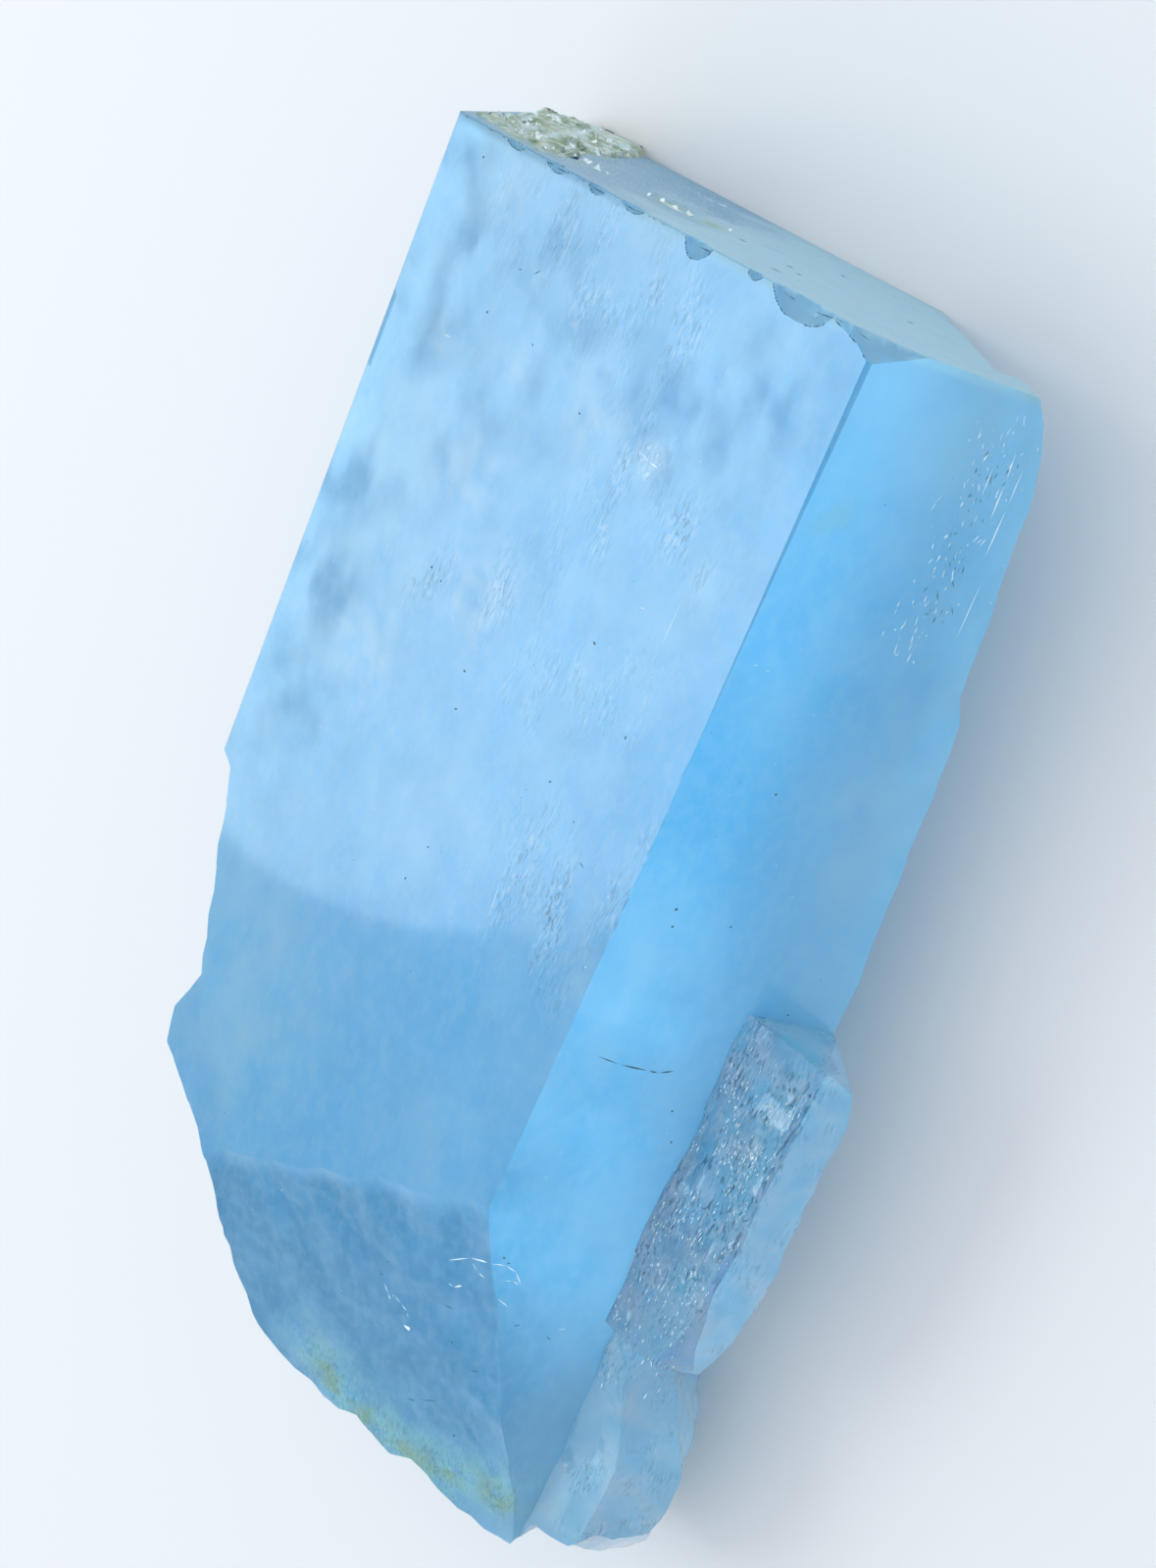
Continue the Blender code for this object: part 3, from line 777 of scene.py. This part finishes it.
def side_etch_at(place):
    """Etching of the side crystal: strong on its upper face near its end, in patches further down."""
    if not on_side_crystal(place):
        return 0.0
    upper = between(place.z, *SIDE_ETCH_Z) * between(place.x, *SIDE_ETCH_X)
    along = 0.15 + 0.85 * between(place.y, *SIDE_ETCH_Y)
    thick = min(1.0, max(0.1, 0.65 + 1.1 * rough(place, 1.3)))
    patchy = max(0.0, 0.1 + 0.7 * rough(place, 2.0))
    return max(upper * along * thick * between(place.y, *SIDE_ETCH_TIP), min(0.5, patchy))


def etch_at(place):
    """Etching: in patches on face A, and elsewhere on the side crystal, the end face and the rim."""
    if place.z < THICKNESS - A_BAND:
        return max(side_etch_at(place), 0.8 * end_etch_at(place), 0.4 * rim_at(place, RIM_BAND))
    patchy = 0.3 + 0.9 * rough(drawn_out(place, 0.35), 1.6)
    return max(0.0, patchy) * spots_at(place.x, place.y, ETCHED_SPOTS)


def haze_at(place):
    """Mottling everywhere, strongest in the clouds on face A."""
    clouds = spots_at(place.x, place.y, DULL_SPOTS) if place.z > THICKNESS - CLOUD_BAND else 0.0
    mottled = 0.55 + 1.3 * rough(drawn_out(place, 0.75), 1.9, 5)
    return min(1.0, (0.2 + 0.8 * clouds) * max(0.0, mottled))


def dull_at(place):
    """Where the sheen is weaker: in the haze, on the sloping base and the end face, and along the rim."""
    plain = max(0.8 * deep_shade_at(place), on_end(place), rim_at(place, RIM_BAND))
    return max(min(1.0, plain), 0.85 * haze_at(place))


def from_line(x, y, line):
    """How far a point is from a line of points."""
    point = Vector((x, y))
    nearest = math.inf
    for start, end in zip(line, line[1:]):
        begin = Vector(start)
        along = Vector(end) - begin
        share = min(1.0, max(0.0, (point - begin).dot(along) / along.length_squared))
        nearest = min(nearest, (point - begin - along * share).length)
    return nearest


def rim_at(place, width):
    """The strength of a soft band of the given width along the lower left rim."""
    if place.y > RIM_TOP:
        return 0.0
    fade = between(place.z + 2.0 * rough(place, 1.8), *RIM_FADE)
    return fade * math.exp(-((from_line(place.x, place.y, RIM_LINE) / width) ** 2))


def stain_at(place):
    """Yellow-green iron stain: along the lower left rim, in patches on the end face, and one on face B."""
    patch = math.exp(-((place - B_STAIN[0]).length / B_STAIN[1]) ** 2)
    end = spots_at(place.x, place.z, END_OLIVE) * on_end(place)
    return max(0.95 * rim_at(place, STAIN_BAND), end, 0.4 * patch)


def left_at(place):
    """1 on the left faces and breaks, well below face A, and 0 on A, B and the slope."""
    return between(THICKNESS - place.z, *LEFT_DROP) * between(place.x, *LEFT_X)


def cloud_at(place):
    """Milkiness: drifting clouds with wisps in them, the broken flank and the top of face B."""
    drift = 0.4 + 0.7 * rough(drawn_out(place, 0.6), 7.0, 2)
    wisps = 0.7 + 0.7 * rough(drawn_out(place, 0.7), 2.0, 4)
    start = between(place.y + 4.0 * rough(place, 4.0, 2), *FLANK_START_Y)
    flank = start * between(abs(height_over(place, FACE_F)), *FLANK_DEPTH)
    on_b = max(between(place.y, *B_TOP_Y), 0.8 * between(place.x, *B_RIGHT_X)) if place.x > A_WIDTH else 0.0
    side = 0.9 * (between(place.y, *SIDE_MILKY_Y) if is_clear(place) else on_side_crystal(place))
    milky = max(0.0, drift * wisps) * (1.0 - 0.7 * deep_shade_at(place)) * (1.0 + left_at(place))
    return min(1.0, milky + max(0.55 * flank, 0.7 * on_b, side))


def on_chip(place):
    """On a chip in the upper part of the crystal, so on none of the flat faces."""
    return place.y > CHIP_START_Y and place.z > CHIP_LOWEST_Z and touched_faces(place) == 0


def is_clear(place):
    """The upper left part of the side crystal is clear, and the rest of it is milky."""
    return on_side_crystal(place) and place.z > CLEAR_Z and place.x < CLEAR_X and place.y > CLEAR_Y


def frost_at(place):
    """Whitish skin on the side crystal, in patches."""
    return max(0.0, 0.15 + 0.5 * rough(place, 1.5)) if on_side_crystal(place) else 0.0


def end_colour_at(place):
    """The end face: etched and greyer beside the crust, clean and pale beyond it, its paleness partly a
    painted reflection of the light that it catches at a grazing angle.
    """
    clean = between(place.x + 5.0 * rough(place, 3.5) - 0.25 * (place.z - 9.0), *CLEAN_END_X)
    mottled = 0.15 * rough(place, 1.5, 4)
    return ETCHED_END.lerp(CLEAN_END_AND_REFLECTION, min(1.0, max(0.0, 0.1 + mottled + 0.85 * clean)))


def deep_shade_at(place):
    """Painted shade: where the body is darkened to look deeper, under the sloping base, away from its rim,
    and below face B.
    """
    if place.y > B_SHADE_Y[0]:
        return 0.0
    if abs(height_over(place, FACE_B)) < 0.05:
        return 0.5 * between(place.y, *B_SHADE_Y)
    on_slope = between(abs(height_over(place, SLOPE)), *SLOPE_NEAR) * between(place.z, *SLOPE_Z)
    below = between(THICKNESS - place.z, *SLOPE_DROP)
    uneven = 0.9 + 0.35 * rough(place, 2.2, 4)
    return min(1.0, on_slope * below * uneven * (1.0 - rim_at(place, RIM_BAND)))


def tint_at(place):
    """The colour of the body at a place on the skin."""
    if on_chip(place):
        return CHIP
    body = CLEAR_BODY if is_clear(place) else BODY
    # Painted shade under the sloping base and low on face B.
    colour = body.lerp(DEEP_SHADE, deep_shade_at(place))
    if is_clear(place):
        # Darker in patches on the clear part of the side crystal.
        darker = between(rough(drawn_out(place, 0.5), 1.4), *DARKER_PATCH_VALUES)
        colour = colour.lerp(DARKER_PATCH, 0.8 * darker)
    colour = colour.lerp(PALE, cloud_at(place)).lerp(HAZE, 0.6 * haze_at(place))
    if place.z > THICKNESS - A_BAND:
        puffs = spots_at(place.x, place.y, PUFFS) * max(0.0, 0.5 + 1.2 * rough(place, 1.1))
        colour = colour.lerp(RIDGE_HIGHLIGHT_AND_PUFF, min(1.0, 0.5 * puffs))
    colour = colour.lerp(FROST, min(1.0, frost_at(place)))
    colour = colour.lerp(end_colour_at(place), on_end(place))
    crystalline = max(0.0, 0.7 + 1.2 * rough(place, 1.0, 4))
    colour = colour.lerp(RIM_FROST, min(1.0, rim_at(place, RIM_BAND) * crystalline))
    uneven = max(0.0, 0.7 + 1.2 * rough(place, 1.3, 4))
    return colour.lerp(STAIN, min(1.0, stain_at(place) * uneven))


def paint(mesh, name, strength):
    """A number on every vertex, worked out from its place."""
    layer = mesh.attributes.new(name, "FLOAT", "POINT")
    layer.data.foreach_set("value", [strength(vertex.co) for vertex in mesh.vertices])


def paint_tint(mesh):
    """The colour of the body on every vertex."""
    layer = mesh.attributes.new("tint", "FLOAT_COLOR", "POINT")
    for item, vertex in zip(layer.data, mesh.vertices):
        item.color = (*tint_at(vertex.co), 1.0)


def chip_edges(mesh):
    """The ends of the edges where the chips meet face A, with gaps between them."""
    sides = {}
    for face in mesh.polygons:
        chip = on_chip(face.center)
        if chip or face.normal.z > FACING_UP and face.center.y > CHIP_RIM_Y:
            for edge in face.edge_keys:
                sides.setdefault(edge, []).append(chip)
    rims = [edge for edge, found in sides.items() if len(found) == 2 and found.count(True) == 1]
    ends = [[mesh.vertices[index].co.copy() for index in edge] for edge in rims]
    return [(start, end) for start, end in ends if rough(start, 0.7, 2) > -0.15 and start != end]


def tree_of(mesh):
    """The mesh as a tree that rays can be cast at."""
    corners = [vertex.co for vertex in mesh.vertices]
    return BVHTree.FromPolygons(corners, [face.vertices for face in mesh.polygons])


def finish_of(face):
    """The number of a face's material: frosted on the end face and the chips, else milky or clear."""
    if face.normal.y > FACING_OUT or on_chip(face.center):
        return FROSTED
    return CLEAR if is_clear(face.center) else MILKY


def build_crystal():
    """The crystal: the CAD solid with bevels, relief and paint. Gives its skin and the chips' rims."""
    shape = shape_in_mm("aquamarine_crystal")
    bevel_edges(shape)
    coarse = levels_between(-GRID_END, GRID_END, GRID_STEP)
    across = levels_between(-GRID_END, SIDE_START, GRID_STEP)
    across += levels_between(SIDE_START, GRID_END, SIDE_STEP)
    mesh = fine_mesh(shape, (across, coarse, coarse))
    shape.free()
    paint(mesh, "etch", etch_at)
    paint(mesh, "dull", dull_at)
    paint_tint(mesh)
    outward = [normal.vector.copy() for normal in mesh.vertex_normals]
    for vertex, normal in zip(mesh.vertices, outward):
        vertex.co += normal * relief(vertex.co)
    for face in mesh.polygons:
        face.use_smooth = True
        face.material_index = finish_of(face)
    mesh.set_sharp_from_angle(angle=SHARP_ANGLE)
    skin = tree_of(mesh)
    rims = chip_edges(mesh)
    milky = aquamarine("milky_aquamarine", MILKY_FINISH)
    clear = aquamarine("clear_aquamarine", CLEAR_FINISH)
    frosted = aquamarine("frosted_aquamarine", FROSTED_FINISH)
    crystal = piece("crystal", mesh, (milky, clear, frosted))
    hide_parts("aquamarine_crystal")
    return skin, rims


# Marks and flakes


class Shapes:
    """Small closed shapes, gathered to be joined in one mesh."""

    def __init__(self):
        self.points = []
        self.faces = []
        self.kinds = []

    def add(self, points, faces, kind):
        start = len(self.points)
        self.points += points
        self.faces += [[start + index for index in face] for face in faces]
        self.kinds += [kind] * len(faces)

    def sliver(self, start, end, width, up, kind):
        """A thin double-ended splinter."""
        along = (end - start).normalized()
        side = along.cross(up).normalized() * (width / 2.0)
        top = side.cross(along).normalized() * min(width / 2.0, SLIVER_RISE)
        middle = (start + end) / 2.0
        points = [start, end, middle + side, middle + top, middle - side, middle - top]
        sides = ((2, 3), (3, 4), (4, 5), (5, 2))
        faces = [(0, second, first) for first, second in sides]
        faces += [(1, first, second) for first, second in sides]
        self.add(points, faces, kind)

    def thread(self, places, width, up, kind):
        """A line of splinters through several places, bent at each and thinner at its start."""
        for number, (start, end) in enumerate(zip(places, places[1:])):
            reach = (end - start) * THREAD_OVERLAP
            thick = width * (1.0 if number else THREAD_START)
            self.sliver(start - reach, end + reach, thick, up, kind)

    def flake(self, centre, normal, size, spin, kind):
        """A thin plate with five or six uneven sides."""
        side = normal.orthogonal().normalized()
        other = normal.cross(side)
        corners = 5 + int(size * 100.0) % 2
        rim = []
        for corner in range(corners):
            turn = spin + math.tau * corner / corners
            reach = size * (FLAKE_RADIUS + FLAKE_UNEVEN * math.sin(3.0 * turn + spin))
            outward = side * math.cos(turn) + other * math.sin(turn) * FLAKE_SQUEEZE
            rim.append(centre + outward * reach)
        thick = normal * (size * FLAKE_THICKNESS)
        points = rim + [point + thick for point in rim]
        upper = list(range(corners, 2 * corners))
        faces = [upper, list(range(corners))[::-1]]
        for corner in range(corners):
            following = (corner + 1) % corners
            faces.append((corner, following, following + corners, corner + corners))
        self.add(points, faces, kind)

    def mesh(self, name):
        mesh = bpy.data.meshes.new(name)
        mesh.from_pydata([tuple(point) for point in self.points], [], self.faces)
        mesh.polygons.foreach_set("material_index", self.kinds)
        return mesh


def on_plane(across, along, face):
    """The place above (across, along) on a face of the crystal that isn't upright."""
    point, normal = face
    drop = (across - point.x) * normal.x + (along - point.y) * normal.y
    return Vector((across, along, point.z - drop / normal.z))


def spot_on_a(x, y):
    return on_plane(x, y, FACE_A)


def spot_on_slope(x, y):
    return on_plane(x, y, SLOPE)


def spot_on_b(down, y):
    """The place on face B that is so far down from its edge with face A."""
    return FACE_B[0] + Vector((down * TILTED.z, y, -down * TILTED.x))


def spot_on_end(x, z):
    return Vector((x, 0.0, z))


def placed(lines, spot_on):
    """Lines of pairs of numbers as lines of places on a face."""
    return [[spot_on(*pair) for pair in line] for line in lines]


def landed(skin, place, towards):
    """Where a line that comes down on a place meets the skin, sunk in a little, and the normal there."""
    start = place + towards * LANDING_START
    hit, normal, _, _ = skin.ray_cast(start, -towards)
    if hit is None:
        return place, towards
    return hit - normal * MARK_DEPTH, normal


def sight():
    """The direction from the crystal towards the camera, along which the marks come down on the skin."""
    return Vector(CAMERA_RIGHT).cross(Vector(CAMERA_UP)).normalized()


def mark_lines(shapes, skin, lines, width, kind):
    """Each line as a thread on the skin."""
    for line in lines:
        landings = [landed(skin, place, sight()) for place in line]
        shapes.thread([place for place, _ in landings], width, landings[0][1], kind)


def flecks(shapes, skin, source):
    """Fields of small splinters, mostly along the crystal."""
    for face, across_low, across_high, low, high, count, longest, kind in FLECKS:
        for _ in range(count):
            across = source.triangular(across_low, across_high)
            y = source.uniform(low, high)
            target = spot_on_b(across, y) if face == "B" else spot_on_a(across, y)
            place, normal = landed(skin, target, sight())
            along = Vector((source.gauss(0.0, 0.3), 1.0, source.gauss(0.0, 0.3))).normalized()
            along = (along - normal * along.dot(normal)).normalized()
            reach = along * source.uniform(0.2, 1.0) * longest
            shapes.sliver(place - reach, place + reach, source.uniform(*FLECK_WIDTHS), normal, kind)


def shaded_edge_nicks(shapes, skin, source):
    """Small nicks along the upper edge of the end face, made dark with painted shade."""
    for _ in range(SHADED_EDGE_NICKS):
        x = source.uniform(0.3, A_WIDTH - 1.0)
        ends = [spot_on_a(x, -0.1), spot_on_a(x + source.uniform(*NICK_LENGTHS), -0.1)]
        mark_lines(shapes, skin, [ends], source.uniform(*NICK_WIDTHS), DARK)


def random_turn(source):
    return Vector((source.gauss(0.0, 1.0), source.gauss(0.0, 1.0), source.gauss(0.0, 1.0))).normalized()


def scatter(shapes, skin, source, count, sizes, kind):
    """Specks thrown on the crystal from all sides."""
    for _ in range(count):
        towards = random_turn(source)
        target = Vector([source.uniform(*span) for span in SPECK_BOX])
        hit, normal, _, _ = skin.ray_cast(target + towards * SPECK_DISTANCE, -towards)
        if hit is None:
            continue
        place = hit - normal * MARK_DEPTH
        along = (random_turn(source) + Vector((0.0, 1.0, 0.0))).cross(normal).cross(normal).normalized()
        reach = along * source.uniform(*sizes)
        shapes.sliver(place - reach, place + reach, source.uniform(*sizes), normal, kind)


def side_glint_slivers(shapes, skin, source):
    """Small splinters on the etched upper face of the side crystal, whose bright colour is a painted glint.
    """
    for _ in range(SIDE_GLINT_SLIVERS):
        place = Vector((source.uniform(*SLIVER_X), source.triangular(*SLIVER_Y), SLIVER_Z))
        place, normal = landed(skin, place, Vector((0.0, 0.0, 1.0)))
        if not on_side_crystal(place) or place.z < SLIVER_LOWEST or rough(place, 1.2, 2) < -0.05:
            continue
        along = Vector((source.gauss(0.0, 0.12), 1.0, source.gauss(0.0, 0.15))).normalized()
        reach = along * source.uniform(*SLIVER_REACH)
        shapes.sliver(place - reach, place + reach, source.uniform(*FLECK_WIDTHS), normal, SHINY)


def mark_material(name, colour, roughness):
    material, tree, shader = new_material(name)
    varied = remap(tree, noise_value(tree, MARK_MOTTLE, detail=2.0), 0.35, 0.65)
    lighter = tuple(min(1.0, value * 1.5 + 0.02) for value in colour)
    tree.links.new(mix_colour(tree, varied, colour, lighter), shader.inputs["Base Color"])
    shader.inputs["Roughness"].default_value = roughness
    return material


def single_marks(shapes, skin, source):
    """The inclusions, the crack, the threads and the glint that have their own places."""
    dots = [spot_on_a(*dot) for dot in A_DOTS]
    dots += [spot_on_slope(*dot) for dot in SLOPE_DOTS]
    dots += [spot_on_b(*dot) for dot in B_DOTS]
    for dot in dots:
        place, normal = landed(skin, dot, sight())
        reach = random_turn(source).cross(normal).normalized() * (DOT_SIZE * source.uniform(0.4, 0.8))
        shapes.sliver(place - reach, place + reach, DOT_SIZE * source.uniform(0.6, 1.0), normal, DARK)
    dashes = placed(A_DASHES, spot_on_a) + placed(SLOPE_DASHES, spot_on_slope)
    dashes += placed(END_DASHES, spot_on_end) + placed([B_CRACK], spot_on_b)
    mark_lines(shapes, skin, dashes, DASH_WIDTH, DARK)
    threads = placed(A_THREADS, spot_on_a) + placed(SLOPE_THREADS, spot_on_slope)
    threads += placed(B_THREADS, spot_on_b) + placed(END_THREADS, spot_on_end)
    mark_lines(shapes, skin, threads, THREAD_WIDTH, SHINY)
    glint, normal = landed(skin, spot_on_slope(*SLOPE_GLINT), sight())
    shapes.flake(glint, normal, GLINT_SIZE, GLINT_SPIN, SHINY)


def build_marks(skin, rims):
    """Dark inclusions, a crack, pale threads and sparkling slivers, which lie in the crystal's skin. The
    chips' dark outlines and the dark nicks are painted shade, and the sparkle of the slivers and bright
    flecks is a painted glint.
    """
    shapes = Shapes()
    source = random.Random(MARK_SEED)
    single_marks(shapes, skin, source)
    scatter(shapes, skin, source, DARK_SPECKS, DARK_SPECK_SIZES, DARK)
    scatter(shapes, skin, source, PALE_SPECKS, PALE_SPECK_SIZES, SHINY)
    side_glint_slivers(shapes, skin, source)
    shaded_edge_nicks(shapes, skin, source)
    flecks(shapes, skin, source)
    # Dark outlines along the chips' rims: painted shade.
    for start, end in rims:
        shapes.sliver(start, end, RIM_SHADE_WIDTH, Vector((0.0, 0.0, 1.0)), DARK)
    materials = (
        mark_material("dark_inclusion_and_shade", DARK_MARK, DARK_ROUGHNESS),
        mark_material("pale_sliver_and_glint", SHINY_MARK, SHINY_ROUGHNESS),
    )
    piece("skin_marks", shapes.mesh("skin_marks"), materials)


# The crust on the end face


def crust_material():
    material, tree, shader = new_material("crust")
    patches = remap(tree, noise_value(tree, CRUST_MOTTLE, detail=8.0), 0.40, 0.62)
    colour = mix_colour(tree, patches, CRUST_OLIVE, CRUST_PALE)
    ochre = remap(tree, noise_value(tree, OCHRE_MOTTLE, (1.0, 1.0, 1.6), 8.0), 0.50, 0.70, 0.0, 0.7)
    colour = mix_colour(tree, ochre, colour, CRUST_OCHRE)
    tree.links.new(colour, shader.inputs["Base Color"])
    gloss = remap(tree, noise_value(tree, GLOSS_MOTTLE), 0.3, 0.7, 0.25, 0.6)
    tree.links.new(gloss, shader.inputs["Roughness"])
    grit = bump(tree, noise_value(tree, GRIT_SIZE), GRIT_DEPTH)
    tree.links.new(grit, shader.inputs["Normal"])
    return material


def flake_material():
    material, tree, shader = new_material("pearly_flake")
    varied = remap(tree, noise_value(tree, FLAKE_MOTTLE), 0.4, 0.6)
    colour = mix_colour(tree, varied, FLAKE_DIM, FLAKE_BRIGHT)
    tree.links.new(colour, shader.inputs["Base Color"])
    shader.inputs["Roughness"].default_value = FLAKE_ROUGHNESS
    shader.inputs["Coat Weight"].default_value = FLAKE_COAT
    return material


def crust_body(ceiling):
    """The CAD solid of the crust with a lumpy skin, spread unevenly over the end face."""
    shape = shape_in_mm("mineral_crust")
    levels = levels_between(-GRID_END, GRID_END, CRUST_STEP)
    mesh = fine_mesh(shape, (levels, levels, levels))
    shape.free()
    height, size = CRUST_LUMPS
    outward = [normal.vector.copy() for normal in mesh.vertex_normals]
    for vertex, normal in zip(mesh.vertices, outward):
        vertex.co += normal * (height * rough(vertex.co, size, 4))
        uneven = CRUST_SPREAD * (1.3 + rough(vertex.co, 1.8))
        spread = (vertex.co - CRUST_CENTRE) * (uneven * between(vertex.co.y, *CRUST_FACE_Y))
        vertex.co.x = max(vertex.co.x + spread.x, EF_EDGE_X + CRUST_MARGIN)
        vertex.co.y = min(vertex.co.y, ceiling)
        vertex.co.z = max(vertex.co.z + spread.z, CRUST_MARGIN)
    return mesh


def crust_flakes(shapes, skin, ceiling):
    """Pearly flakes, thickly on the crust and singly beside it on the end face."""
    source = random.Random(CRUST_SEED)
    for _ in range(CRUST_FLAKES):
        place = Vector((source.uniform(*CRUST_FLAKE_X), 0.0, source.uniform(*CRUST_FLAKE_Z)))
        above = place + Vector((0.0, CRUST_RAY_START, 0.0))
        hit, normal, _, _ = skin.ray_cast(above, Vector((0.0, -1.0, 0.0)))
        if hit is None or hit.y < CRUST_LOWEST_Y:
            continue
        tilted = (normal + random_turn(source) * CRUST_FLAKE_TILT).normalized()
        size = source.triangular(*CRUST_FLAKE_SIZES)
        if hit.y + size * 0.5 < ceiling:
            shapes.flake(hit, tilted, size, source.uniform(0.0, math.tau), CRUST_FLAKE)
    for x, z in END_FLAKES:
        tilted = (Vector((0.3, 1.0, 0.5)) + random_turn(source) * 0.5).normalized()
        size = source.uniform(*END_FLAKE_SIZES)
        place = Vector((x, END_FLAKE_Y, z))
        shapes.flake(place, tilted, size, source.uniform(0.0, math.tau), CRUST_FLAKE)


def build_crust():
    """The mineral crust, set with pearly flakes."""
    ceiling = (CAD_BOX[1][1] - ORIGIN.y) / MM
    mesh = crust_body(ceiling)
    shapes = Shapes()
    points = [vertex.co.copy() for vertex in mesh.vertices]
    shapes.add(points, [face.vertices for face in mesh.polygons], CRUST_BODY)
    crust_flakes(shapes, tree_of(mesh), ceiling)
    crust = piece("crust", shapes.mesh("crust"), (crust_material(), flake_material()))
    bpy.data.meshes.remove(mesh)
    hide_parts("mineral_crust")


# Floor, light and camera


def add_floor():
    half = FLOOR_SIZE / 2.0
    corners = [(x, y, -FLOOR_DROP) for x, y in ((-half, -half), (half, -half), (half, half), (-half, half))]
    mesh = bpy.data.meshes.new("floor")
    mesh.from_pydata([spot(*corner) for corner in corners], [], [(0, 1, 2, 3)])
    mesh.materials.append(floor_material())
    floor = bpy.data.objects.new("floor", mesh)
    bpy.context.scene.collection.objects.link(floor)


def add_light():
    world = bpy.data.worlds.new("studio")
    world.use_nodes = True
    world.node_tree.nodes["Background"].inputs["Color"].default_value = (*WORLD_LIGHT, 1.0)
    bpy.context.scene.world = world
    lamp = bpy.data.lights.new("softbox", "AREA")
    lamp.shape = "DISK"
    radius = SOFTBOX_RADIUS * MM
    lamp.size = 2.0 * radius
    lamp.color = SOFTBOX_COLOUR
    lamp.energy = SOFTBOX_RADIANCE * math.pi * math.pi * radius**2
    softbox = bpy.data.objects.new("softbox", lamp)
    softbox.location = spot(*SOFTBOX_PLACE)
    bpy.context.scene.collection.objects.link(softbox)


def add_camera():
    data = bpy.data.cameras.new("camera")
    data.lens = CAMERA_LENS
    data.clip_start = CAMERA_NEAREST
    camera = bpy.data.objects.new("camera", data)
    right = Vector(CAMERA_RIGHT).normalized()
    back = right.cross(Vector(CAMERA_UP)).normalized()
    turn = Matrix((right, back.cross(right), back)).transposed().to_4x4()
    camera.matrix_world = Matrix.Translation(spot(*CAMERA_PLACE)) @ turn
    bpy.context.scene.collection.objects.link(camera)
    bpy.context.scene.camera = camera


def main():
    bpy.context.scene.view_settings.view_transform = "Standard"
    skin, rims = build_crystal()
    build_marks(skin, rims)
    build_crust()
    add_floor()
    add_light()
    add_camera()


main()
